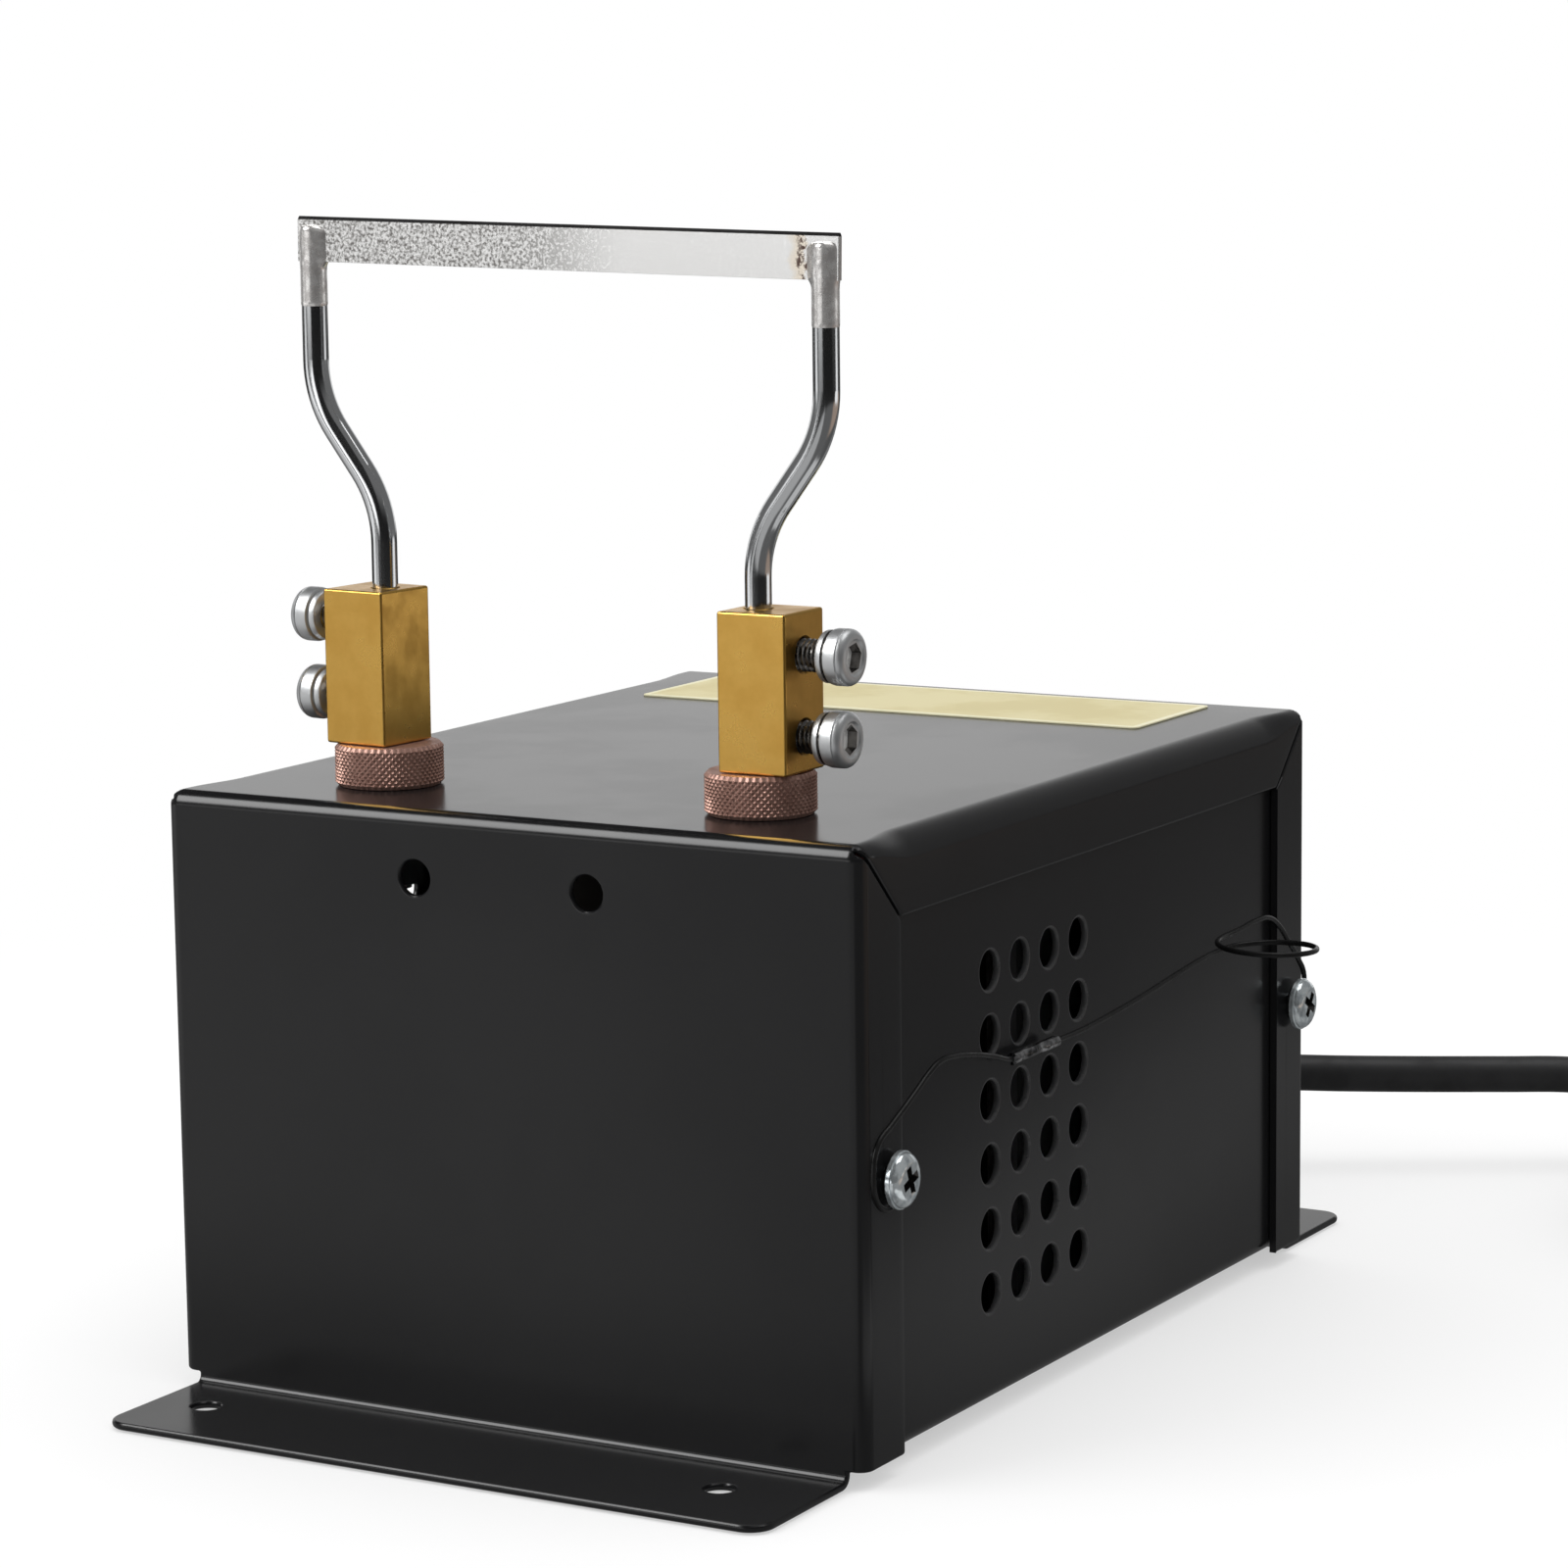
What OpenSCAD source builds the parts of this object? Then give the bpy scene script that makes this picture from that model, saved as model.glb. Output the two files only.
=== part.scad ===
// Bench-top hot cutter for webbing and ribbon.
// +X is the vented right side, -Y the front, +Z up. The origin is on the bench, under the middle of the case.

/* [Case] */
// Width of the case over its side flanges
case_w = 123; // [112:1:150]
// Depth of the case over its front and rear panels
case_d = 157; // [150:1:190]
// Height of the top panel above the bench
case_h = 95; // [92:1:120]
// Thickness of the sheet steel
sheet_t = 1.2; // [0.8:0.1:1.6]
// Outside radius of the folds
fold_r = 2.4; // [2:0.1:3.5]
// Width of the folded side flanges
flange_w = 12; // [11:0.5:16]
// Width of the slit between two mitred flanges
mitre_gap = 0.5; // [0.3:0.1:1]
// Height of the tray and of the flange ends above the bench
case_lift = 2.6; // [2.4:0.1:4]
// Clearance between the tray and the shell
sheet_gap = 0.2; // [0.1:0.05:0.4]

/* [Feet] */
// Reach of each foot from its panel
foot_l = 25; // [20:1:35]
// Inset of each foot's side from the side of the case
foot_inset = 3.25; // [3:0.25:12]
// Radius of the foot corners
foot_corner_r = 4; // [2:0.5:8]
// Diameter of the foot holes
foot_hole_d = 4.5; // [3.5:0.5:6]
// Distance between the two holes of one foot
foot_hole_gap = 92; // [70:1:98]
// Offset of the foot holes from the middle of the case
foot_hole_shift = -2.8; // [-4:0.1:4]
// Distance of the foot holes from the panel face
foot_hole_reach = 11; // [8:0.5:14]

/* [Front holes] */
// Diameter of the two holes in the front panel
front_hole_d = 5.4; // [4:0.2:7]
// Distance between the two holes
front_hole_gap = 30.5; // [24:0.5:36]
// Depth of the holes below the top panel
front_hole_drop = 10.3; // [9:0.1:14]

/* [Vents] */
// Diameter of a vent hole
vent_d = 6; // [4:0.2:7]
// Distance between vent holes
vent_pitch = 10; // [8.5:0.5:11]
// Number of vent columns
vent_cols = 4; // [2:1:6]
// Number of vent rows
vent_rows = 6; // [3:1:6]
// Place of the vent field's middle behind the middle of the case
vent_y = -21.3; // [-30:0.1:10]
// Height of the vent field's middle
vent_z = 44.7; // [42:0.1:50]

/* [Case screws] */
// Thread diameter of the case screws
case_screw_d = 4; // [3:0.5:5]
// Head diameter of the case screws
case_head_d = 8.7; // [7:0.1:9]
// Head height of the case screws
case_head_h = 2.2; // [2:0.1:3.5]
// Distance of the front screws from the front panel
front_screw_inset = 8.2; // [6:0.1:9]
// Distance of the rear screws from the rear panel
rear_screw_inset = 5.6; // [5:0.1:8]
// Height of the case screws
case_screw_z = 45; // [25:0.1:60]

/* [Terminals] */
// Distance between the two terminal studs
post_gap = 66.6; // [60:0.2:76]
// Distance of the studs from the front panel
post_inset = 20.5; // [18:0.5:26]
// Diameter of the studs
stud_d = 6; // [5:0.5:7]
// Width of a terminal block
block_w = 11.6; // [11:0.1:14]
// Height of a terminal block
block_h = 24; // [23:0.5:30]
// Offset of a block's middle from its stud, outwards
block_shift = 1.9; // [0:0.1:2.4]
// Turn of the left block on its stud
block_turn = 5.4; // [0:0.2:8]
// Diameter of a knurled collar nut
collar_d = 17; // [16:0.5:20]
// Height of a knurled collar nut
collar_h = 6.4; // [4:0.1:9]
// Diameter of the flange of an insulating bush
bush_flange_d = 13; // [12:0.5:14]
// Height of the flange of an insulating bush
bush_flange_h = 0.8; // [0.6:0.1:2]
// Diameter of the bush in the top panel
bush_d = 9; // [8:0.5:10]

/* [Clamp screws] */
// Thread diameter of the clamp screws
clamp_d = 5; // [4:0.5:5]
// Head diameter of the clamp screws
clamp_head_d = 8.5; // [7:0.1:9]
// Head height of the clamp screws
clamp_head_h = 5; // [4:0.1:6]
// Width across the flats of the hexagon socket
clamp_socket = 4; // [3:0.5:4]
// Depth of the upper screws below the block's top
clamp_upper_drop = 6.5; // [5.5:0.1:7]
// Height of the lower screws above the block's bottom
clamp_lower_rise = 5.3; // [5:0.1:6.2]
// Thread showing between the block and an upper screw head
clamp_upper_show = 3.6; // [1:0.1:5]
// Thread showing between the block and a lower screw head
clamp_lower_show = 2.9; // [1:0.1:5]
// Height of the left screws above the right ones
clamp_left_lift = 1.6; // [0:0.1:1.8]

/* [Blade] */
// Height of the blade strip
blade_h = 6.9; // [5:0.1:10]
// Thickness of the blade strip
blade_t = 1; // [0.6:0.1:1.4]
// Height of the ground edge
blade_bevel = 0.5; // [0.5:0.1:1.5]
// Length of blade past the leg axes
blade_overhang = 2.5; // [2:0.1:8]
// Height of the blade's edge above the blocks
blade_rise = 56.1; // [50:0.1:70]
// Slope of the blade, its left end higher
blade_slope = 1; // [0:0.2:3]
// Diameter of a blade leg
leg_d = 4; // [3:0.1:5]
// Depth of a leg in its block
leg_seat = 12; // [10:0.5:12]
// Height of the lower bend above the block
leg_stem = 13.1; // [10:0.1:16]
// Height of the left leg's crank above the right one's
leg_left_lift = 2.5; // [0:0.1:3]
// Outward step of a leg
leg_step = 11.9; // [8:0.1:16]
// Slope of the stepped stretch from upright
leg_angle = 37; // [25:1:45]
// Radius of the leg bends at the middle of the rod
leg_bend_r = 18; // [8:0.5:20]
// Depth of the leg's end below the blade's edge
leg_end_drop = 1.7; // [1:0.1:2.5]

/* [Label] */
// Width of the label plate
label_w = 96; // [60:1:100]
// Depth of the label plate
label_d = 29; // [15:1:35]
// Thickness of the label plate
label_t = 0.3; // [0.2:0.1:1]
// Offset of the label plate from the middle of the case
label_shift = -2; // [-5:0.5:5]
// Distance of the label plate from the rear panel face
label_inset = 5.5; // [3:0.5:12]

/* [Transformer] */
// Width of the laminations
core_w = 86; // [72:1:90]
// Thickness of the lamination stack
core_stack = 45; // [36:1:48]
// Distance of the core's middle from the rear panel
core_inset = 60.5; // [58:0.5:64]
// Wall of the bobbin
bobbin_t = 1.2; // [0.8:0.1:1.5]
// Thickness of the primary winding
primary_t = 5; // [3:0.1:5]
// Thickness of the secondary winding
secondary_t = 4; // [2:0.1:4]
// Thickness of the bracket strap
bracket_t = 1.5; // [1:0.1:2]
// Width of the bracket strap
bracket_w = 30; // [22:1:34]
// Length of a bracket foot
bracket_foot = 11; // [10:0.5:13]

/* [Switch] */
// Distance of the switch's middle from the left side
switch_inset = 23.5; // [18:0.5:27]
// Height of the switch
switch_z = 52; // [40:0.5:60]
// Width of the panel cut-out
switch_w = 13; // [12:0.1:14]
// Height of the panel cut-out
switch_h = 19.2; // [18.5:0.1:22]
// Depth of the housing behind the panel face
switch_depth = 15; // [13:0.5:18]
// Tilt of the rocker from its middle position
rocker_tilt = 10; // [6:1:12]

/* [Mains lead] */
// Diameter of the mains lead
cord_d = 6.8; // [6:0.1:7.5]
// Place of the mains lead on the rear panel
cord_x = 14; // [10:0.5:20]
// Height of the mains lead on the rear panel
cord_z = 18; // [16:0.5:24]
// Length of the strain relief outside the panel
grip_l = 24; // [20:1:30]
// Clearance around round pieces that turn or slide
run_gap = 0.05; // [0.02:0.01:0.08]

/* [Coil of the mains lead] */
// Inner radius of the coil at the middle of the lead
coil_r = 30; // [27.5:0.5:34]
// Distance from turn to turn and from layer to layer
coil_pitch = 7.6; // [7.4:0.1:9]
// Turns in each of the two layers
coil_turns = 2.685; // [2.6:0.005:2.95]
// Thickness of the tie round the coil
tie_t = 1; // [0.8:0.1:1.5]
// Width of the tie round the coil
tie_w = 9; // [6:0.5:12]

/* [Tie wire] */
// Diameter of the thin wire on the right side
wire_d = 0.9; // [0.7:0.1:1.4]
// Length of the crimp sleeve on the wire
sleeve_l = 15; // [8:0.5:16]
// Diameter of the crimp sleeve
sleeve_d = 1.9; // [1.8:0.1:3]

/* [Hidden] */
$fn = 48;

// Faces of the case
side_x = case_w / 2;
front_y = -case_d / 2;
rear_y = case_d / 2;
panel_under = case_h - sheet_t;
tray_x = side_x - sheet_t - sheet_gap;
tray_y = rear_y - fold_r - sheet_gap;
tray_top = case_h - fold_r - sheet_gap;
tray_floor = case_lift + sheet_t;
foot_w = case_w - 2 * foot_inset;
foot_bend_r = 1;
foot_hole_y = rear_y + foot_hole_reach;
cut = 1;

// Case screws
screw_rows = [front_y + front_screw_inset, rear_y - rear_screw_inset];
screw_gap = 0.3;
screw_hole_d = case_screw_d + screw_gap;
screw_end = 1.5;
head_rim_h = 1.2;
head_top_d = 6.1;
cross_l = 4.5;
cross_w = 1;
nut_h = 3.2;
nut_flats = 7;
nut_gap = 0.1;
wire_gap = 0.1;
wire_space = wire_d + 2 * wire_gap;

// Terminals
post_x = post_gap / 2;
post_y = front_y + post_inset;
bore_gap = 2 * run_gap;
collar_z = case_h + nut_gap;
collar_recess_gap = 0.2;
block_z = collar_z + collar_h + nut_gap;
block_top = block_z + block_h;
block_outer = post_x + block_shift + block_w / 2;
bush_gap = 0.2;
bush_hole_d = bush_d + bush_gap;
washer_h = 1.6;
steel_washer_h = 1;
steel_washer_d = 13;
stud_nut_h = 5;
stud_nut_flats = 10;
lug_t = 1.5;
lug_ring_d = 12;
lug_barrel_d = 7;
lug_reach = 16.5;
lug_neck = 7.6;
upper_nut_z = panel_under - washer_h - steel_washer_h - stud_nut_h;
lug_z = upper_nut_z - lug_t;
lower_nut_z = lug_z - stud_nut_h;
stud_end = 1;
stud_bottom = lower_nut_z - stud_end;
block_web = 1;
stud_seat = block_h - leg_seat - block_web;

// Clamp screws
clamp_upper_z = block_top - clamp_upper_drop;
clamp_lower_z = block_z + clamp_lower_rise;
socket_depth = 2.6;

// Blade unit
leg_bottom = block_top - leg_seat + nut_gap;
leg_x = post_x + leg_step;
lower_bend_z = block_top + leg_stem;
upper_bend_z = lower_bend_z + leg_step / tan(leg_angle);
bend_tangent = leg_bend_r * tan(leg_angle / 2);
leg_stem_top = lower_bend_z - bend_tangent;
leg_head_z = upper_bend_z + bend_tangent;
leg_lap = 3;
leg_step_in = 0.04;
leg_sides = 20;
leg_rings = 8;
blade_top = block_top + blade_rise;
leg_top = blade_top - leg_end_drop;
blade_edge_t = 0.2;
blade_fall = leg_x * tan(blade_slope);

// Transformer
core_leg = core_w / 6;
core_y = rear_y - core_inset;
core_z = tray_floor;
core_h = 5 * core_leg;
core_top = core_z + core_h;
core_gap = 0.3;
bobbin_x = core_leg + core_gap;
bobbin_y = core_stack / 2 + core_gap;
bobbin_flange_t = 1.5;
bobbin_z = core_z + core_leg + core_gap;
bobbin_h = 3 * core_leg - 2 * core_gap;
primary_x = bobbin_x + bobbin_t;
primary_y = bobbin_y + bobbin_t;
winding_gap = 0.2;
secondary_x = primary_x + primary_t + winding_gap;
secondary_y = primary_y + primary_t + winding_gap;
flange_margin = 0.5;
winding_z = bobbin_z + bobbin_flange_t + winding_gap;
winding_h = bobbin_h - 2 * (bobbin_flange_t + winding_gap);
winding_outer_y = secondary_y + secondary_t;
bracket_x = core_w / 2 + bracket_t;
bracket_screw_x = bracket_x + bracket_foot / 2;
bracket_screw_d = 4;
bracket_head_d = 7.5;
bracket_head_h = 1.9;
bracket_screw_margin = 7;
bracket_screw_gap = bracket_w - 2 * bracket_screw_margin;
floor_hole_d = bracket_screw_d + screw_gap;

// Switch on the rear panel
switch_x = switch_inset - side_x;
bezel_margin = 1;
bezel_t = 2;
housing_gap = 0.2;
housing_w = switch_w - housing_gap;
housing_h = switch_h - housing_gap;
housing_back = rear_y - switch_depth;
rocker_r = 8.2;
rocker_w = 11;
rocker_gap = 0.35;
rocker_pivot_in = 0.6;
rocker_pivot_y = rear_y - rocker_pivot_in;
rocker_valley = 2;
rocker_dish = 10;
rocker_back = 3;
pivot_d = 2;
pivot_wall = 0.3;
pivot_l = housing_w - 2 * pivot_wall;
tab_t = 0.8;
tab_w = 4.8;
tab_l = 8;
tab_end = housing_back - tab_l;
tab_rise = 5;

// Mains lead, inside and outside the rear panel
grip_gap = 0.2;
grip_bore_d = cord_d + grip_gap;
grip_flange_d = 15;
grip_flange_t = 3;
grip_neck_d = 12;
grip_tip_d = 9;
grip_end_y = rear_y + grip_l;
cord_stub = 8;
inner_end_y = rear_y - sheet_t - grip_flange_t - cord_stub;
core_wire_d = 2.2;
wire_ring = 1.9;

// Earth point on the tray floor
earth_margin = [17.5, 14.5];
earth_x = side_x - earth_margin[0];
earth_y = rear_y - earth_margin[1];
earth_ring_d = 9;
earth_barrel_d = 3.6;
earth_reach = 12;
earth_neck = 5;
earth_t = 1;

// Vectors and swept tubes
function unit(v) = v / norm(v);
function mix(a, b, f) = a + (b - a) * f;
function between(a, b, shape) = [for (f = shape) [for (k = [0:2]) mix(a[k], b[k], f[k])]];
function tangent(p, i) = unit(p[min(i + 1, len(p) - 1)] - p[max(i - 1, 0)]);
function square_to(t) = abs(t[2]) < 0.9 ? unit(cross(t, [0, 0, 1])) : unit(cross(t, [1, 0, 0]));
function carry(u, t) = unit(u - (u * t) * t);
function sides_of(p) = [for (i = 0, u = square_to(tangent(p, 0)); i < len(p);
    i = i + 1, u = i < len(p) ? carry(u, tangent(p, i)) : u) u];
function tube_points(p, d, n) = let (s = sides_of(p))
    [for (i = [0:len(p) - 1]) let (t = tangent(p, i), v = cross(t, s[i]))
    for (k = [0:n - 1]) p[i] + d / 2 * (cos(360 * k / n) * s[i] + sin(360 * k / n) * v)];
function tube_faces(rings, n) = concat(
    [for (k = [1:n - 2]) [0, k, k + 1]],
    [for (i = [0:rings - 2]) for (k = [0:n - 1]) [i * n + k, (i + 1) * n + k, (i + 1) * n + (k + 1) % n]],
    [for (i = [0:rings - 2]) for (k = [0:n - 1]) [i * n + k, (i + 1) * n + (k + 1) % n, i * n + (k + 1) % n]],
    [for (k = [1:n - 2]) [(rings - 1) * n, (rings - 1) * n + k + 1, (rings - 1) * n + k]]);

// Cranked middle of a blade leg, between its straight stem and its straight head
function leg_turn(i) = leg_angle * i / leg_rings;
function leg_bend(x, z, s, i) = let (a = leg_turn(i))
    [x + s * leg_bend_r * (1 - cos(a)), post_y, z + s * leg_bend_r * sin(a)];
leg_route = concat([[post_x, post_y, leg_stem_top - leg_lap]],
    [for (i = [0:leg_rings]) leg_bend(post_x, leg_stem_top, 1, i)],
    [for (i = [leg_rings:-1:0]) leg_bend(leg_x, leg_head_z, -1, i)],
    [[leg_x, post_y, leg_head_z + leg_lap]]);

// Coil of the mains lead: in on the bench, one layer up at the middle, and out again
coil_centre = [147.5, 141];
coil_entry_angle = 118;
coil_loop_rings = 24;
tie_gap = 0.3;
coil_low_z = tie_t + tie_gap + cord_d / 2;
coil_mid_angle = coil_entry_angle - 360 * coil_turns;
coil_soft = 0.1;
coil_climb = 0.5;
function rise(t) = let (x = min(max(t / coil_climb + 0.5, 0), 1)) x * x * (3 - 2 * x);
function coil_radius(t) = coil_r + coil_pitch * (sqrt(t * t + coil_soft * coil_soft) - coil_soft);
function coil_point(t) = let (a = coil_mid_angle - 360 * t, r = coil_radius(t))
    [coil_centre[0] + r * cos(a), coil_centre[1] + r * sin(a), coil_low_z + coil_pitch * rise(t)];
coil_steps = round(2 * coil_turns * coil_loop_rings);
coil_turns_path = [for (i = [0:coil_steps]) coil_point(coil_turns * (2 * i / coil_steps - 1))];
coil_nudge = 0.001;
coil_in = unit(coil_point(coil_nudge - coil_turns) - coil_point(-coil_turns));
coil_out = unit(coil_point(coil_turns) - coil_point(coil_turns - coil_nudge));
coil_lead_in = cord_d;
coil_lead_out = 1.5 * cord_d;
coil_start = coil_turns_path[0] - coil_in * coil_lead_in;
coil_end = coil_turns_path[coil_steps] + coil_out * coil_lead_out;
coil_path = concat([coil_start], coil_turns_path, [coil_end]);
coil_own_turn = round(coil_loop_rings / 2);
coil_least_gap = min([for (i = [0:coil_steps]) for (k = [i + coil_own_turn:1:coil_steps])
    norm(coil_turns_path[i] - coil_turns_path[k])]) - cord_d;
echo(coil_least_gap = coil_least_gap);

// Free stretch of the mains lead, from the strain relief to the coil
free_route = concat([
    [14, 102.5, 18], [14, 110, 18], [16, 118.5, 18], [21.5, 127.5, 17.9], [30, 134.5, 17.8],
    [43, 141.5, 17.5], [56, 148.5, 17.3], [68, 155, 17.2], [79, 161, 17], [85, 164, 16.3],
    [90.5, 167, 14.2], [95.5, 169.8, 10.9], [100.5, 172.4, 7.5], [106, 175.4, 5.4]],
    [coil_start - coil_in * coil_lead_in, coil_start]);
function path_length(p) = len(p) < 2 ? 0 :
    norm(p[1] - p[0]) + path_length([for (i = [1:len(p) - 1]) p[i]]);
echo(lead_length = path_length(free_route) + path_length(coil_path));

// Plug at the end of the coil
plug_neck_wall = 1;
plug_root_wall = 3;
plug_sleeve_l = 24;
plug_l = 34;
plug_w = 27;
plug_corner_r = 5;
plug_z = coil_end[2];
plug_angle = atan2(coil_out[1], coil_out[0]);
pin_gap = 12.7;
pin_w = 6.3;
pin_t = 1.5;
pin_l = 16;
earth_pin_d = 4.8;
earth_pin_l = 18;
pin_rise = 3;
earth_pin_drop = 6;

// Thin wire on the right side: an eye round each screw, one free loop, and a sag between
wire_x = side_x + wire_space / 2;
function eye_point(row, a, r) = [wire_x, screw_rows[row] + r * cos(a), case_screw_z + r * sin(a)];
function on_side(list) = [for (p = list) [wire_x, p[0], p[1]]];
eye_gap = 0.3;
eye_r = case_screw_d / 2 + wire_d / 2 + eye_gap;
eye_step = 36;
sleeve_y = -33;
sleeve_z = 55.6;
loop_r = 8.1;
loop_y = 43;
loop_low = 59.4;
loop_rise = 2;
loop_rings = 16;
eye_way_out = [[-95, 3.8], [-130, 5], [-165, 6], [-200, 6.8], [-230, 7.8]];
front_eye = concat([for (a = [200:-eye_step:-52]) eye_point(0, a, eye_r)],
    [for (p = eye_way_out) eye_point(0, p[0], p[1])]);
wire_run = on_side([[-71, 53.2], [-67, 55], [-63, 56.9], [-59.5, 58.6], [-56, 59.7], [-51.5, 59.6],
    [-45, 58.6], [-39, 57.2], [sleeve_y, sleeve_z], [sleeve_y + sleeve_l, sleeve_z],
    [-10, 55.6], [0, 56.1], [12, 57], [24, 58.2], [34, 59.1]]);
wire_loop = [for (i = [0:loop_rings]) let (a = 180 - 360 * i / loop_rings)
    [wire_x + loop_r + loop_r * cos(a), loop_y + loop_r * sin(a), loop_low + loop_rise * i / loop_rings]];
wire_fall = on_side([[50, 61.6], [57, 62], [62, 61.6], [66, 59.6], [70, 56.2], [74, 52.6], [76.6, 49]]);
rear_eye = [for (a = [10:-eye_step:-278]) eye_point(1, a, eye_r)];
wire_route = concat(front_eye, wire_run, wire_loop, wire_fall, rear_eye);

// Routes of the leads inside, as shares of the way between their two ends
lead_d = 5.5;
lead_shape = [[0, 0, 0], [0, 0.2, 0], [0.02, 0.4, 0.05], [0.1, 0.53, 0.16], [0.23, 0.58, 0.33],
    [0.4, 0.58, 0.5], [0.6, 0.58, 0.68], [0.8, 0.6, 0.84], [0.94, 0.68, 0.96], [1, 0.83, 1], [1, 1, 1]];
lead_end_x = 10;
lead_end_rise = 12;
lead_from = [post_x, post_y + lug_reach, lug_z + lug_barrel_d / 2];
lead_to = [lead_end_x, core_y - winding_outer_y, winding_z + winding_h / 2 + lead_end_rise];
tab_low = [switch_x, tab_end, switch_z - tab_rise];
tab_high = [switch_x, tab_end, switch_z + tab_rise];
bobbin_tag_z = bobbin_z + bobbin_h - bobbin_flange_t / 2;
bobbin_tag_y = core_y + winding_outer_y + flange_margin;
wire_pair_rise = 1;
tag_x = 8;
line_from = [cord_x - wire_ring, inner_end_y, cord_z + wire_pair_rise];
neutral_from = [cord_x + wire_ring, inner_end_y, cord_z + wire_pair_rise];
earth_from = [cord_x, inner_end_y, cord_z - wire_ring];
line_route = [line_from, line_from - [0, 2.5, 0], line_from + [-3, -5, 1.5], line_from + [-10, -5.5, 6],
    line_from + [-20, -5.5, 13], line_from + [-30, -6.5, 20], tab_low + [12, -1, -5],
    tab_low + [5, -4.5, -1.5], tab_low + [1, -4.5, 0], tab_low - [0, 2.5, 0], tab_low];
neutral_to = [tag_x, bobbin_tag_y, bobbin_tag_z];
neutral_route = [neutral_from, neutral_from - [0, 2.5, 0], neutral_from + [0.5, -4.5, 2.5],
    neutral_from + [0.5, -5, 8], mix(neutral_from, neutral_to, 0.5) + [0.5, 0, 0], neutral_to + [1, 6, -9],
    neutral_to + [0.5, 6.2, -3.5], neutral_to + [0, 5, -0.5], neutral_to + [0, 2.5, 0], neutral_to];
switch_to = [-tag_x, bobbin_tag_y, bobbin_tag_z];
switch_route = [tab_high, tab_high - [0, 2.5, 0], tab_high + [1.5, -5, 1], tab_high + [5, -5.5, 3],
    tab_high + [11, -1, 5], switch_to + [-13, 5, 2.5], switch_to + [-6, 6.5, 1.5],
    switch_to + [-1.5, 5.5, 0.5], switch_to + [0, 2.5, 0], switch_to];
earth_to = [earth_x - earth_reach, earth_y, tray_floor + earth_barrel_d / 2];
earth_route = [earth_from, earth_from - [0, 2.5, 0], earth_from + [2, -4.5, -1.5],
    mix(earth_from, earth_to, 0.45) + [0, -4, 0], mix(earth_from, earth_to, 0.7) + [0, -2.5, -1],
    earth_to - [2.5, 0, 0], earth_to];

// Shapes that repeat
module both_sides() { children(); mirror([1, 0, 0]) children(); }
module both_ends() { children(); mirror([0, 1, 0]) children(); }
module tube(p, d, n) { polyhedron(points = tube_points(p, d, n), faces = tube_faces(len(p), n)); }
module fold(length) {
    rotate_extrude(angle = 90) translate([fold_r - sheet_t, 0]) square([sheet_t, length]);
}
module hex(flats, h) { cylinder(d = flats / cos(30), h = h, $fn = 6); }
module hex_nut(flats, bore, h) {
    difference() {
        hex(flats, h);
        translate([0, 0, -cut]) cylinder(d = bore, h = h + 2 * cut);
    }
}
module washer(d, bore, h) {
    difference() {
        cylinder(d = d, h = h);
        translate([0, 0, -cut]) cylinder(d = bore, h = h + 2 * cut);
    }
}
module lug(ring_d, bore, t, barrel_d, neck, reach) {
    difference() {
        union() {
            cylinder(d = ring_d, h = t);
            translate([-barrel_d / 2, 0, 0]) cube([barrel_d, neck + t, t]);
            translate([0, neck, barrel_d / 2]) rotate([-90, 0, 0]) cylinder(d = barrel_d, h = reach - neck);
        }
        translate([0, 0, -cut]) cylinder(d = bore, h = t + 2 * cut);
    }
}
module winding(x, y, t) {
    translate([0, core_y, winding_z]) difference() {
        translate([-x - t, -y - t, 0]) cube([2 * (x + t), 2 * (y + t), winding_h]);
        translate([-x, -y, -cut]) cube([2 * x, 2 * y, winding_h + 2 * cut]);
    }
}
module on_posts() { both_sides() translate([post_x, post_y, 0]) children(); }
module at_rear(x, y, z) { translate([x, y, z]) rotate([-90, 0, 0]) children(); }

// Case
module shell_corner() {
    translate([side_x - fold_r, rear_y - fold_r, case_h - fold_r]) intersection() {
        difference() {
            sphere(r = fold_r);
            sphere(r = fold_r - sheet_t);
        }
        cube(fold_r);
    }
}
module shell_side() {
    upright = case_h - fold_r - case_lift;
    translate([side_x - fold_r, rear_y - fold_r, case_lift]) fold(upright);
    translate([side_x - sheet_t, rear_y - flange_w, case_lift]) cube([sheet_t, flange_w - fold_r, upright]);
    shell_corner();
}
module shell_lip() {
    length = case_d - 2 * fold_r;
    translate([side_x - fold_r, -length / 2, case_h - fold_r])
        rotate([-90, 0, 0]) mirror([0, 1, 0]) fold(length);
    translate([side_x - sheet_t, -length / 2, case_h - flange_w]) cube([sheet_t, length, flange_w - fold_r]);
}
module shell_end() {
    length = case_w - 2 * fold_r;
    upright = case_h - fold_r - case_lift;
    translate([-length / 2, rear_y - sheet_t, case_lift]) cube([length, sheet_t, upright]);
    translate([-length / 2, rear_y - fold_r, case_h - fold_r]) rotate([90, 0, 90]) fold(length);
}
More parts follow.
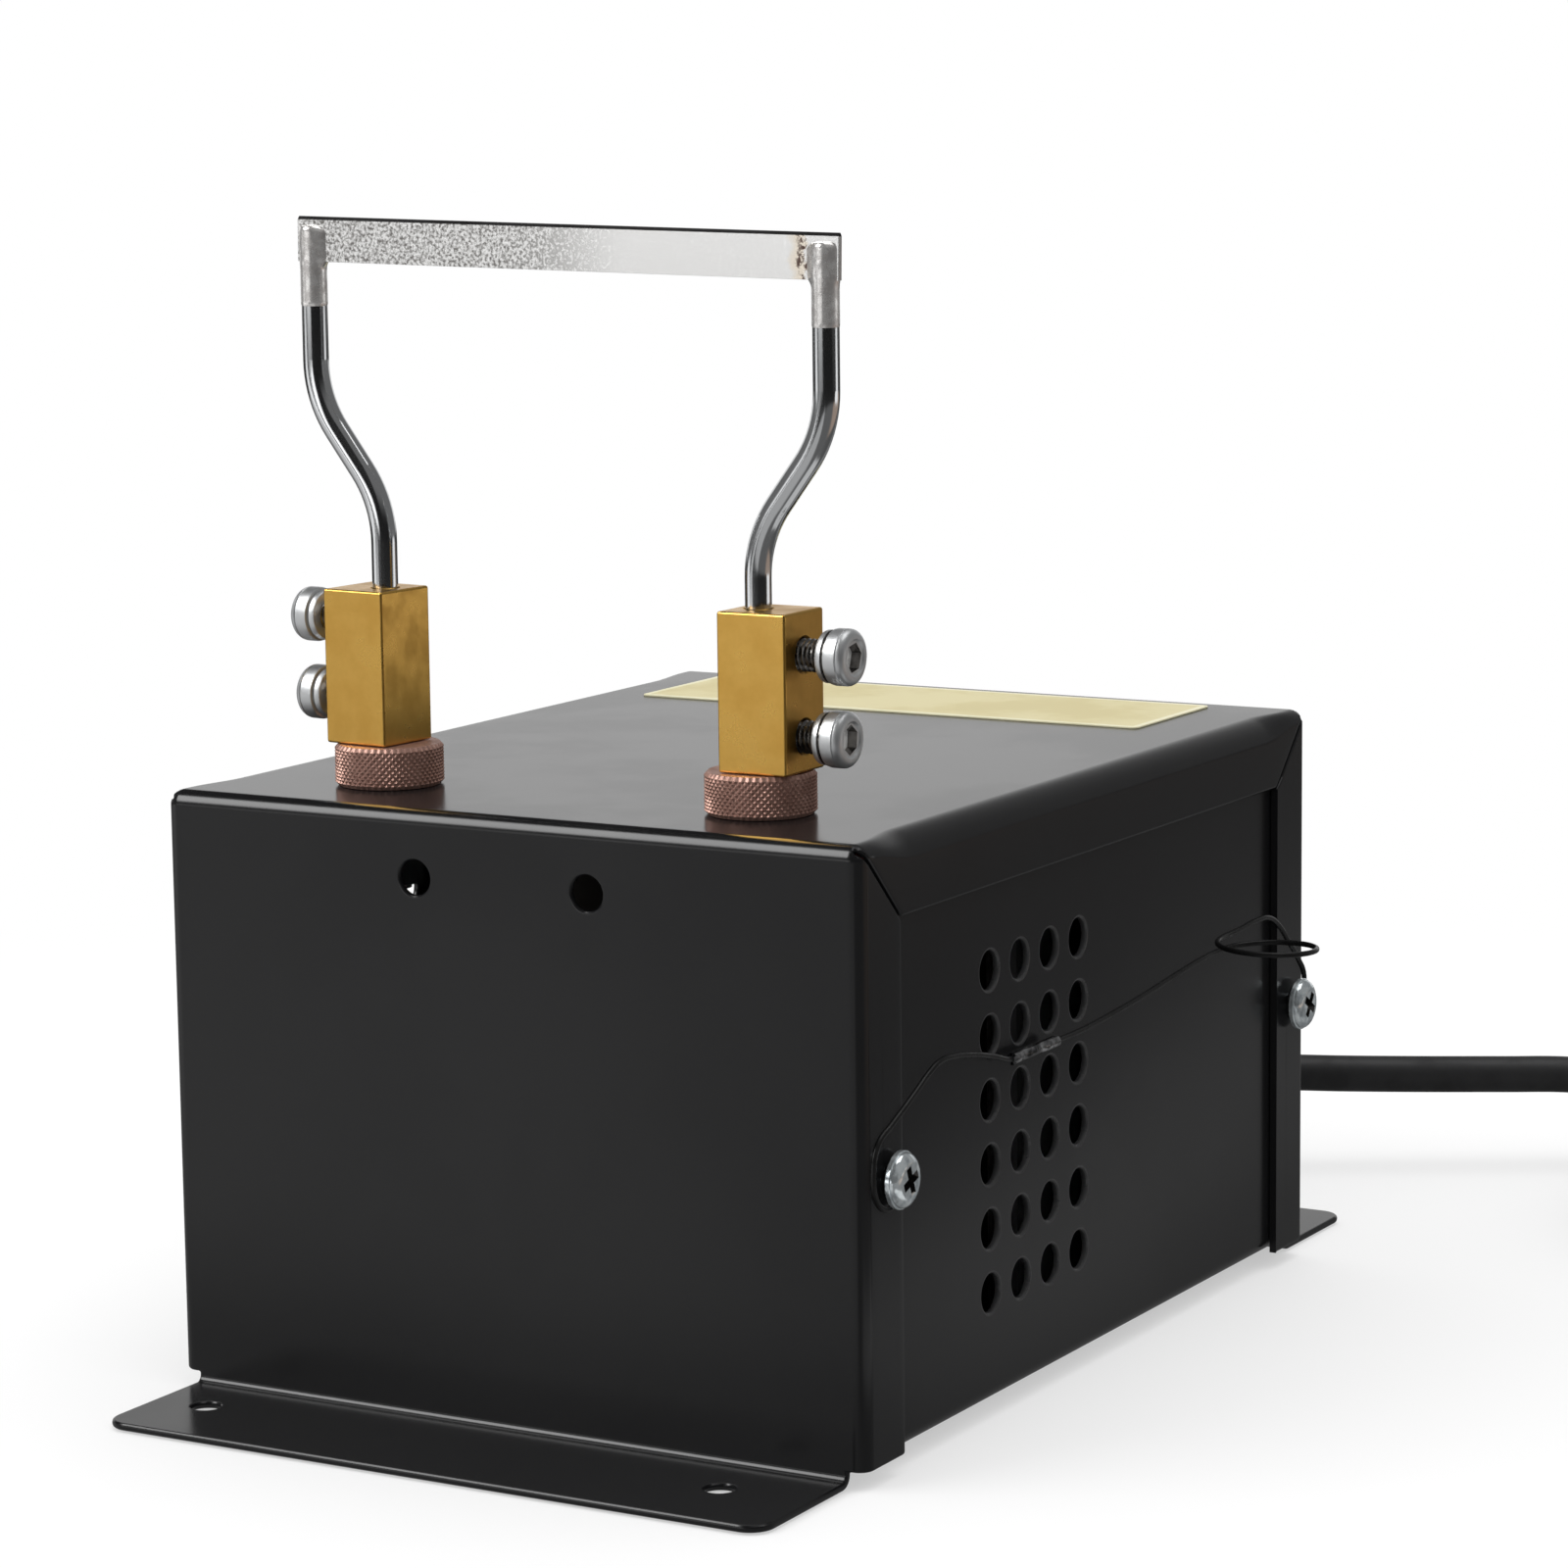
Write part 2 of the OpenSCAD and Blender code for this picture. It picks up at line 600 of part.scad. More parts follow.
module foot() {
    bend_y = rear_y + foot_bend_r;
    tip_y = rear_y + foot_l - foot_corner_r;
    translate([-foot_w / 2, bend_y, sheet_t + foot_bend_r]) rotate([90, 0, 90]) rotate([0, 0, 180])
        rotate_extrude(angle = 90) translate([foot_bend_r, 0]) square([sheet_t, foot_w]);
    translate([-foot_w / 2, rear_y - sheet_t, sheet_t + foot_bend_r])
        cube([foot_w, sheet_t, case_lift + sheet_t]);
    translate([-foot_w / 2, bend_y, 0]) cube([foot_w, tip_y - bend_y, sheet_t]);
    translate([foot_corner_r - foot_w / 2, tip_y, 0])
        cube([foot_w - 2 * foot_corner_r, foot_corner_r, sheet_t]);
    both_sides() translate([foot_w / 2 - foot_corner_r, tip_y, 0]) cylinder(r = foot_corner_r, h = sheet_t);
}
module mitre() {
    reach = (flange_w + 2 * cut) * sqrt(2);
    translate([side_x - sheet_t - cut, rear_y, case_h]) rotate([-135, 0, 0])
        translate([0, fold_r / 2, -mitre_gap / 2]) cube([sheet_t + 2 * cut, reach, mitre_gap]);
}
module side_screw_holes() {
    for (y = screw_rows) translate([-side_x - cut, y, case_screw_z]) rotate([0, 90, 0])
        cylinder(d = screw_hole_d, h = case_w + 2 * cut);
}
module panel_hole(d) { translate([0, 0, -cut]) cylinder(d = d, h = sheet_t + 2 * cut); }
module foot_holes() {
    both_ends() for (s = [-1, 1]) translate([foot_hole_shift + s * foot_hole_gap / 2, foot_hole_y, 0])
        panel_hole(foot_hole_d);
}
module front_holes() {
    both_sides() at_rear(front_hole_gap / 2, front_y, case_h - front_hole_drop) panel_hole(front_hole_d);
}
module switch_cutout() {
    translate([switch_x - switch_w / 2, rear_y - sheet_t - cut, switch_z - switch_h / 2])
        cube([switch_w, sheet_t + 2 * cut, switch_h]);
}
module upper_shell() {
    top_w = case_w - 2 * fold_r;
    top_d = case_d - 2 * fold_r;
    color("#1c1c1d") difference() {
        union() {
            both_ends() {
                both_sides() shell_side();
                shell_end();
                foot();
            }
            both_sides() shell_lip();
            translate([-top_w / 2, -top_d / 2, panel_under]) cube([top_w, top_d, sheet_t]);
        }
        both_ends() both_sides() mitre();
        side_screw_holes();
        on_posts() translate([0, 0, panel_under]) panel_hole(bush_hole_d);
        foot_holes();
        front_holes();
        at_rear(cord_x, rear_y - sheet_t, cord_z) panel_hole(grip_neck_d + grip_gap);
        switch_cutout();
    }
}
module vents() {
    for (c = [0:vent_cols - 1]) for (r = [0:vent_rows - 1]) {
        y = vent_y + (c - (vent_cols - 1) / 2) * vent_pitch;
        z = vent_z + (r - (vent_rows - 1) / 2) * vent_pitch;
        translate([-tray_x - cut, y, z]) rotate([0, 90, 0]) cylinder(d = vent_d, h = 2 * (tray_x + cut));
    }
}
module tray_side() {
    wall = tray_top - case_lift - fold_r;
    translate([tray_x - fold_r, tray_y, case_lift + fold_r])
        rotate([90, 0, 0]) mirror([0, 1, 0]) fold(2 * tray_y);
    translate([tray_x - sheet_t, -tray_y, case_lift + fold_r]) cube([sheet_t, 2 * tray_y, wall]);
}
module lower_tray() {
    floor_w = 2 * (tray_x - fold_r);
    color("#202021") difference() {
        union() {
            translate([-floor_w / 2, -tray_y, case_lift]) cube([floor_w, 2 * tray_y, sheet_t]);
            both_sides() tray_side();
        }
        vents();
        side_screw_holes();
        bracket_holes() translate([0, 0, case_lift]) panel_hole(floor_hole_d);
        translate([earth_x, earth_y, case_lift]) panel_hole(floor_hole_d);
    }
}
module label_plate() {
    color("#e9dfa6") translate([label_shift - label_w / 2, rear_y - label_inset - label_d, case_h])
        cube([label_w, label_d, label_t]);
}
module pan_screw(head_x) {
    shank = head_x - tray_x + sheet_t + nut_gap + nut_h + screw_end;
    difference() {
        union() {
            rotate([0, -90, 0]) cylinder(d = case_screw_d, h = shank);
            rotate([0, 90, 0]) cylinder(d = case_head_d, h = head_rim_h);
            rotate([0, 90, 0]) translate([0, 0, head_rim_h])
                cylinder(d1 = case_head_d, d2 = head_top_d, h = case_head_h - head_rim_h);
        }
        for (a = [0, 90]) rotate([a, 0, 0]) translate([head_rim_h, -cross_l / 2, -cross_w / 2])
            cube([case_head_h, cross_l, cross_w]);
    }
}
module case_screws() {
    color("#b9bcc0") for (y = screw_rows) {
        translate([side_x + wire_space, y, case_screw_z]) pan_screw(side_x + wire_space);
        mirror([1, 0, 0]) translate([side_x + nut_gap, y, case_screw_z]) pan_screw(side_x + nut_gap);
    }
}
module case_nuts() {
    nut_x = tray_x - sheet_t - nut_gap - nut_h;
    color("#a9abae") both_sides() for (y = screw_rows) translate([nut_x, y, case_screw_z])
        rotate([0, 90, 0]) hex_nut(nut_flats, case_screw_d + bore_gap, nut_h);
}
module tie_wire() { color("#151516") tube(wire_route, wire_d, 8); }
module tie_sleeve() {
    color("#8d9094") at_rear(wire_x, sleeve_y, sleeve_z) washer(sleeve_d, wire_space, sleeve_l);
}

// Terminals
module at_left_block() {
    mirror([1, 0, 0]) translate([post_x, post_y, 0]) rotate([0, 0, block_turn])
        translate([-post_x, -post_y, 0]) children();
}
module terminal_block(lift) {
    outer = block_shift + block_w / 2;
    translate([post_x, post_y, block_z]) difference() {
        translate([block_shift - block_w / 2, -block_w / 2, 0]) cube([block_w, block_w, block_h]);
        translate([0, 0, block_h - leg_seat]) cylinder(d = leg_d + bore_gap, h = leg_seat + cut);
        translate([0, 0, -cut]) cylinder(d = stud_d + bore_gap, h = stud_seat + cut);
        for (z = [clamp_upper_z, clamp_lower_z]) translate([0, 0, z + lift - block_z])
            rotate([0, 90, 0]) cylinder(d = clamp_d + bore_gap, h = outer + cut);
    }
}
module terminal_block_right() { color("#c9a24a") terminal_block(0); }
module terminal_block_left() { color("#c9a24a") at_left_block() terminal_block(clamp_left_lift); }
module collar_nut() {
    chamfer = 0.6;
    bore = stud_d / 2 + run_gap;
    r = collar_d / 2;
    recess_r = bush_flange_d / 2 + collar_recess_gap;
    recess = case_h + bush_flange_h - collar_z;
    translate([post_x, post_y, collar_z]) rotate_extrude()
        polygon([[bore, recess], [recess_r, recess], [recess_r, 0], [r - chamfer, 0], [r, chamfer],
            [r, collar_h - chamfer], [r - chamfer, collar_h], [bore, collar_h]]);
}
module collar_nut_right() { color("#8a4b2c") collar_nut(); }
module collar_nut_left() { color("#8a4b2c") mirror([1, 0, 0]) collar_nut(); }
module terminal_stud() {
    translate([post_x, post_y, stud_bottom]) cylinder(d = stud_d, h = block_z + stud_seat - stud_bottom);
}
module terminal_stud_right() { color("#b8923f") terminal_stud(); }
module terminal_stud_left() { color("#b8923f") mirror([1, 0, 0]) terminal_stud(); }
module insulating_bushes() {
    sleeve = sheet_t + washer_h;
    color("#3a2418") on_posts() translate([0, 0, panel_under - washer_h]) difference() {
        union() {
            cylinder(d = bush_d, h = sleeve);
            translate([0, 0, sleeve]) cylinder(d = bush_flange_d, h = bush_flange_h);
        }
        translate([0, 0, -cut]) cylinder(d = stud_d + bore_gap, h = sleeve + bush_flange_h + 2 * cut);
    }
}
module insulating_washers() {
    color("#3a2418") on_posts() translate([0, 0, panel_under - washer_h])
        washer(bush_flange_d, bush_hole_d, washer_h);
}
module stud_washers() {
    color("#b9bcc0") on_posts() translate([0, 0, upper_nut_z + stud_nut_h])
        washer(steel_washer_d, stud_d + bore_gap, steel_washer_h);
}
module stud_nuts() {
    color("#b8923f") on_posts() for (z = [upper_nut_z, lower_nut_z]) translate([0, 0, z])
        hex_nut(stud_nut_flats, stud_d + bore_gap, stud_nut_h);
}
module lead_lugs() {
    color("#b87333") on_posts() translate([0, 0, lug_z])
        lug(lug_ring_d, stud_d + bore_gap, lug_t, lug_barrel_d, lug_neck, lug_reach);
}

// Clamp screws
module clamp_screw(z, show, tip) {
    head_x = block_outer + show;
    translate([0, post_y, z]) rotate([0, 90, 0]) difference() {
        union() {
            translate([0, 0, tip]) cylinder(d = clamp_d, h = head_x - tip);
            translate([0, 0, head_x]) cylinder(d = clamp_head_d, h = clamp_head_h);
        }
        translate([0, 0, head_x + clamp_head_h - socket_depth]) hex(clamp_socket, socket_depth + cut);
    }
}
module clamp_upper(lift) {
    clamp_screw(clamp_upper_z + lift, clamp_upper_show, post_x + leg_d / 2 + run_gap);
}
module clamp_lower(lift) {
    clamp_screw(clamp_lower_z + lift, clamp_lower_show, post_x + stud_d / 2 + run_gap);
}
module clamp_screw_right_upper() { color("#b4b6b9") clamp_upper(0); }
module clamp_screw_right_lower() { color("#b4b6b9") clamp_lower(0); }
module clamp_screw_left_upper() { color("#b4b6b9") at_left_block() clamp_upper(clamp_left_lift); }
module clamp_screw_left_lower() { color("#b4b6b9") at_left_block() clamp_lower(clamp_left_lift); }

// Blade unit
module on_blade(s) {
    translate([0, post_y, blade_top - blade_h / 2]) rotate([0, s * blade_slope, 0]) children();
}
module blade() {
    half = blade_t / 2;
    edge = blade_edge_t / 2;
    shoulder = blade_h - blade_bevel;
    length = 2 * (leg_x + blade_overhang);
    color("#c4c5c6") on_blade(1) translate([-length / 2, 0, -blade_h / 2]) rotate([90, 0, 90])
        linear_extrude(length) polygon([[-half, 0], [half, 0], [half, shoulder],
            [edge, blade_h], [-edge, blade_h], [-half, shoulder]]);
}
module blade_leg(s) {
    drop = s > 0 ? leg_left_lift : 0;
    head = leg_head_z - drop;
    difference() {
        union() {
            translate([post_x, post_y, leg_bottom])
                cylinder(d = leg_d, h = leg_stem_top - drop - leg_bottom);
            translate([0, 0, -drop]) tube(leg_route, leg_d - leg_step_in, leg_sides);
            translate([leg_x, post_y, head])
                cylinder(d = leg_d, h = leg_top - s * blade_fall - head);
        }
        on_blade(s) translate([leg_x - leg_d, -blade_t / 2, -blade_h / 2])
            cube([2 * leg_d, blade_t, blade_h + cut]);
    }
}
module blade_leg_right() { color("#a5a8ab") blade_leg(1); }
module blade_leg_left() { color("#a5a8ab") mirror([1, 0, 0]) blade_leg(-1); }

// Transformer
module core_block(z, h) {
    translate([-core_w / 2, core_y - core_stack / 2, z]) cube([core_w, core_stack, h]);
}
module core_e_stack() {
    color("#6f7175") difference() {
        core_block(core_z, 4 * core_leg);
        both_sides() translate([core_leg, core_y - core_stack / 2 - cut, core_z + core_leg])
            cube([core_leg, core_stack + 2 * cut, 3 * core_leg + cut]);
    }
}
module core_i_stack() { color("#777a7e") core_block(core_z + 4 * core_leg, core_leg); }
module coil_bobbin() {
    flange_x = secondary_x + secondary_t + flange_margin;
    flange_y = winding_outer_y + flange_margin;
    color("#2b2b2b") translate([0, core_y, bobbin_z]) difference() {
        union() {
            translate([-primary_x, -primary_y, 0]) cube([2 * primary_x, 2 * primary_y, bobbin_h]);
            for (z = [0, bobbin_h - bobbin_flange_t]) translate([-flange_x, -flange_y, z])
                cube([2 * flange_x, 2 * flange_y, bobbin_flange_t]);
        }
        translate([-bobbin_x, -bobbin_y, -cut]) cube([2 * bobbin_x, 2 * bobbin_y, bobbin_h + 2 * cut]);
    }
}
module primary_winding() {
    color("#d6b545") winding(primary_x + winding_gap, primary_y + winding_gap, primary_t - winding_gap);
}
module secondary_winding() { color("#b87333") winding(secondary_x, secondary_y, secondary_t); }
module bracket_holes() {
    both_sides() for (s = [-1, 1]) translate([bracket_screw_x, core_y + s * bracket_screw_gap / 2, 0])
        children();
}
module transformer_bracket() {
    color("#9a9da1") difference() {
        translate([0, core_y - bracket_w / 2, 0]) {
            translate([-bracket_x, 0, core_top]) cube([2 * bracket_x, bracket_w, bracket_t]);
            both_sides() {
                translate([core_w / 2, 0, tray_floor]) cube([bracket_t, bracket_w, core_h]);
                translate([bracket_x, 0, tray_floor]) cube([bracket_foot, bracket_w, bracket_t]);
            }
        }
        bracket_holes() translate([0, 0, tray_floor - cut])
            cylinder(d = floor_hole_d, h = bracket_t + 2 * cut);
    }
}
module floor_screw(stack) {
    translate([0, 0, case_lift - bracket_head_h]) cylinder(d = bracket_head_d, h = bracket_head_h);
    translate([0, 0, case_lift]) cylinder(d = bracket_screw_d, h = sheet_t + stack + nut_h + screw_end);
}
module bracket_screws() { color("#b9bcc0") bracket_holes() floor_screw(bracket_t); }
module floor_nut(stack) {
    translate([0, 0, tray_floor + stack]) hex_nut(nut_flats, bracket_screw_d + bore_gap, nut_h);
}
module bracket_nuts() { color("#a9abae") bracket_holes() floor_nut(bracket_t); }
module secondary_lead() { tube(between(lead_from, lead_to, lead_shape), lead_d, 8); }
module secondary_lead_right() { color("#7a2b22") secondary_lead(); }
module secondary_lead_left() { color("#7a2b22") mirror([1, 0, 0]) secondary_lead(); }

// Rocker switch
module on_pivot() { translate([switch_x, rocker_pivot_y, switch_z]) children(); }
module along_pivot(d, length) {
    translate([-length / 2, 0, 0]) rotate([0, 90, 0]) cylinder(d = d, h = length);
}
module switch_box(w, y, depth, h) {
    translate([switch_x - w / 2, y, switch_z - h / 2]) cube([w, depth, h]);
}
module switch_housing() {
    cavity_w = rocker_w + 2 * rocker_gap;
    cavity_d = 2 * (rocker_r + rocker_gap);
    mouth = rocker_pivot_in + bezel_t + cut;
    color("#18181a") difference() {
        union() {
            switch_box(housing_w, housing_back, switch_depth, housing_h);
            switch_box(switch_w + 2 * bezel_margin, rear_y, bezel_t, switch_h + 2 * bezel_margin);
        }
        on_pivot() along_pivot(cavity_d, cavity_w);
        switch_box(cavity_w, rocker_pivot_y, mouth, cavity_d);
        on_pivot() along_pivot(pivot_d + bore_gap, pivot_l);
    }
}
module switch_rocker() {
    reach = rocker_valley + rocker_r * tan(rocker_dish);
    color("#101012") on_pivot() rotate([-rocker_tilt, 0, 0]) union() {
        intersection() {
            along_pivot(2 * rocker_r, rocker_w);
            translate([-rocker_w / 2, 0, 0]) rotate([90, 0, 90]) linear_extrude(rocker_w)
                polygon([[-rocker_back, -rocker_r], [reach, -rocker_r], [rocker_valley, 0],
                    [reach, rocker_r], [-rocker_back, rocker_r]]);
        }
        along_pivot(pivot_d, pivot_l - bore_gap);
    }
}
module switch_tabs() {
    color("#c8b26a") for (s = [-1, 1])
        translate([switch_x - tab_w / 2, tab_end, switch_z + s * tab_rise - tab_t / 2])
            cube([tab_w, tab_l, tab_t]);
}

// Mains lead at the rear panel
module cord_grip() {
    inner_face = rear_y - sheet_t - grip_flange_t;
    bore_l = grip_l + sheet_t + grip_flange_t;
    color("#131314") difference() {
        union() {
            for (y = [inner_face, rear_y]) at_rear(cord_x, y, cord_z)
                cylinder(d = grip_flange_d, h = grip_flange_t);
            at_rear(cord_x, inner_face, cord_z) cylinder(d = grip_neck_d, h = sheet_t + 2 * grip_flange_t);
            at_rear(cord_x, rear_y + grip_flange_t, cord_z)
                cylinder(d1 = grip_neck_d, d2 = grip_tip_d, h = grip_l - grip_flange_t);
        }
        at_rear(cord_x, inner_face - cut, cord_z) cylinder(d = grip_bore_d, h = bore_l + 2 * cut);
    }
}
module cord_inner_end() {
    color("#161617") at_rear(cord_x, inner_end_y, cord_z) cylinder(d = cord_d, h = grip_end_y - inner_end_y);
}
module line_wire() { color("#5b3420") tube(line_route, core_wire_d, 8); }
module switch_wire() { color("#5b3420") tube(switch_route, core_wire_d, 8); }
module neutral_wire() { color("#2a4f8f") tube(neutral_route, core_wire_d, 8); }
module earth_wire() { color("#6d8f2a") tube(earth_route, core_wire_d, 8); }
module earth_lug() {
    color("#b9bcc0") translate([earth_x, earth_y, tray_floor]) rotate([0, 0, 90])
        lug(earth_ring_d, bracket_screw_d + bore_gap, earth_t, earth_barrel_d, earth_neck, earth_reach);
}
module earth_screw() { color("#b9bcc0") translate([earth_x, earth_y, 0]) floor_screw(earth_t); }
module earth_nut() { color("#a9abae") translate([earth_x, earth_y, 0]) floor_nut(earth_t); }

// Mains lead outside, its coil, tie and plug
module mains_cord() { color("#161617") tube(free_route, cord_d, 10); }
module cord_coil() { color("#161617") tube(coil_path, cord_d, 6); }
module cord_tie() {
    room = 0.8;
    near = coil_radius(0.5) - cord_d / 2 - room;
    far = coil_radius(floor(coil_turns + 0.5) - 0.5) + cord_d / 2 + room;
    height = cord_d + coil_pitch + 2 * tie_gap;
    color("#2a2a2c") translate(coil_centre) rotate([0, 0, coil_mid_angle + 180]) difference() {
        translate([near - tie_t, -tie_w / 2, 0]) cube([far - near + 2 * tie_t, tie_w, height + 2 * tie_t]);
        translate([near, -tie_w / 2 - cut, tie_t]) cube([far - near, tie_w + 2 * cut, height]);
    }
}
module at_plug() { translate(coil_end) rotate([0, 0, plug_angle]) rotate([0, 90, 0]) children(); }
module plug_body() {
    side = 2 * plug_z;
    corner = [side / 2 - plug_corner_r, plug_w / 2 - plug_corner_r];
    color("#171718") at_plug() {
        cylinder(d1 = cord_d + 2 * plug_neck_wall, d2 = cord_d + 2 * plug_root_wall, h = plug_sleeve_l);
        translate([0, 0, plug_sleeve_l]) linear_extrude(plug_l) union() {
            square([side, 2 * corner[1]], center = true);
            square([2 * corner[0], plug_w], center = true);
            for (x = [-1, 1]) for (y = [-1, 1]) translate([x * corner[0], y * corner[1]])
                circle(r = plug_corner_r);
        }
    }
}
module plug_pins() {
    color("#c9b673") at_plug() translate([0, 0, plug_sleeve_l + plug_l]) {
        for (s = [-1, 1]) translate([-pin_rise - pin_w / 2, s * pin_gap / 2 - pin_t / 2, 0])
            cube([pin_w, pin_t, pin_l]);
        translate([earth_pin_drop, 0, 0]) cylinder(d = earth_pin_d, h = earth_pin_l);
    }
}

upper_shell();
lower_tray();
label_plate();
case_screws();
case_nuts();
tie_wire();
tie_sleeve();
terminal_block_left();
terminal_block_right();
collar_nut_left();
collar_nut_right();
terminal_stud_left();
terminal_stud_right();
insulating_bushes();
insulating_washers();
stud_washers();
stud_nuts();
lead_lugs();
clamp_screw_left_upper();
clamp_screw_left_lower();
clamp_screw_right_upper();
clamp_screw_right_lower();
blade();
blade_leg_left();
blade_leg_right();
core_e_stack();
core_i_stack();
coil_bobbin();
primary_winding();
secondary_winding();
transformer_bracket();
bracket_screws();
bracket_nuts();
secondary_lead_left();
secondary_lead_right();
switch_housing();
switch_rocker();
switch_tabs();
cord_grip();
cord_inner_end();
line_wire();
switch_wire();
neutral_wire();
earth_wire();
earth_lug();
earth_screw();
earth_nut();
mains_cord();
cord_coil();
cord_tie();
plug_body();
plug_pins();
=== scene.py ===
"""Bench-top hot cutter for webbing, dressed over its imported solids.

Meshes are worked out in millimetres and scaled to metres when a piece is placed.
"""
import logging
import math
from dataclasses import dataclass
from enum import Enum
from typing import Any, Callable, Sequence

import bmesh
import bpy
from mathutils import Matrix, Vector, noise


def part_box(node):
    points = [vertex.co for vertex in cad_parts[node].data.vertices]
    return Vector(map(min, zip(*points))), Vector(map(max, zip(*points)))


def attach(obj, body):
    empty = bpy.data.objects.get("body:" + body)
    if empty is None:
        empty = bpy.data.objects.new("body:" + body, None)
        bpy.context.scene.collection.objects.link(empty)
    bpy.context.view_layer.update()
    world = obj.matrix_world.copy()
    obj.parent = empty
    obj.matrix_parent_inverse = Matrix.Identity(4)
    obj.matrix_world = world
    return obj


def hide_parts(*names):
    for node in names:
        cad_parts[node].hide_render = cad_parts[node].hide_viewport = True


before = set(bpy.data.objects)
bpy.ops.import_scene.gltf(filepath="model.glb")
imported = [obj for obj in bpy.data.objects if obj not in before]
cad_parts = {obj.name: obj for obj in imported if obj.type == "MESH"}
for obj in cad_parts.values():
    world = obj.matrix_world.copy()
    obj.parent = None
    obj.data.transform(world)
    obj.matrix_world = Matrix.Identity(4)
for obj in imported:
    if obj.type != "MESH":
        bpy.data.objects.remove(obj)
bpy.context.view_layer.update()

MM = 0.001
LOG = logging.getLogger("webbing_cutter")

Colour = tuple[float, float, float]
Point = tuple[float, float, float]
Pair = tuple[float, float]
Profile = list[Pair]


class Slot(Enum):
    """Material slots of the record."""

    CASE = "case_black"
    LABEL = "label_yellow"
    ZINC = "zinc"
    BRASS = "terminal_brass"
    COLLAR = "collar_copper"
    SCREW = "screw_steel"
    LEG = "leg_chrome"
    BLADE = "blade_silver"
    CORD = "cord_black"
    WIRE = "wire_black"
    SWITCH = "switch_black"
    INSULATOR = "insulator_brown"
    CORE = "core_steel"
    BOBBIN = "bobbin_plastic"
    COPPER = "copper"
    TAPE = "tape_yellow"
    BRACKET = "bracket_zinc"
    LEAD = "lead_red"
    BROWN = "wire_brown"
    BLUE = "wire_blue"
    GREEN = "wire_green"
    CONTACT = "contact_brass"


class Side(Enum):
    """The two ends of the blade, with the sign of their X."""

    LEFT = -1
    RIGHT = 1

    @property
    def word(self) -> str:
        """The side's name as the nodes spell it."""
        return self.name.lower()


class Grain(Enum):
    """How far the patches of a finish are drawn out along X, Y and Z."""

    EVEN = (1.0, 1.0, 1.0)
    ALONG_X = (0.06, 1.0, 1.0)
    ALONG_Y = (1.0, 0.06, 1.0)
    ALONG_Z = (1.0, 1.0, 0.06)


class Axis(Enum):
    """An axis, as the output of a Separate XYZ node."""

    X = 0
    Y = 1
    Z = 2


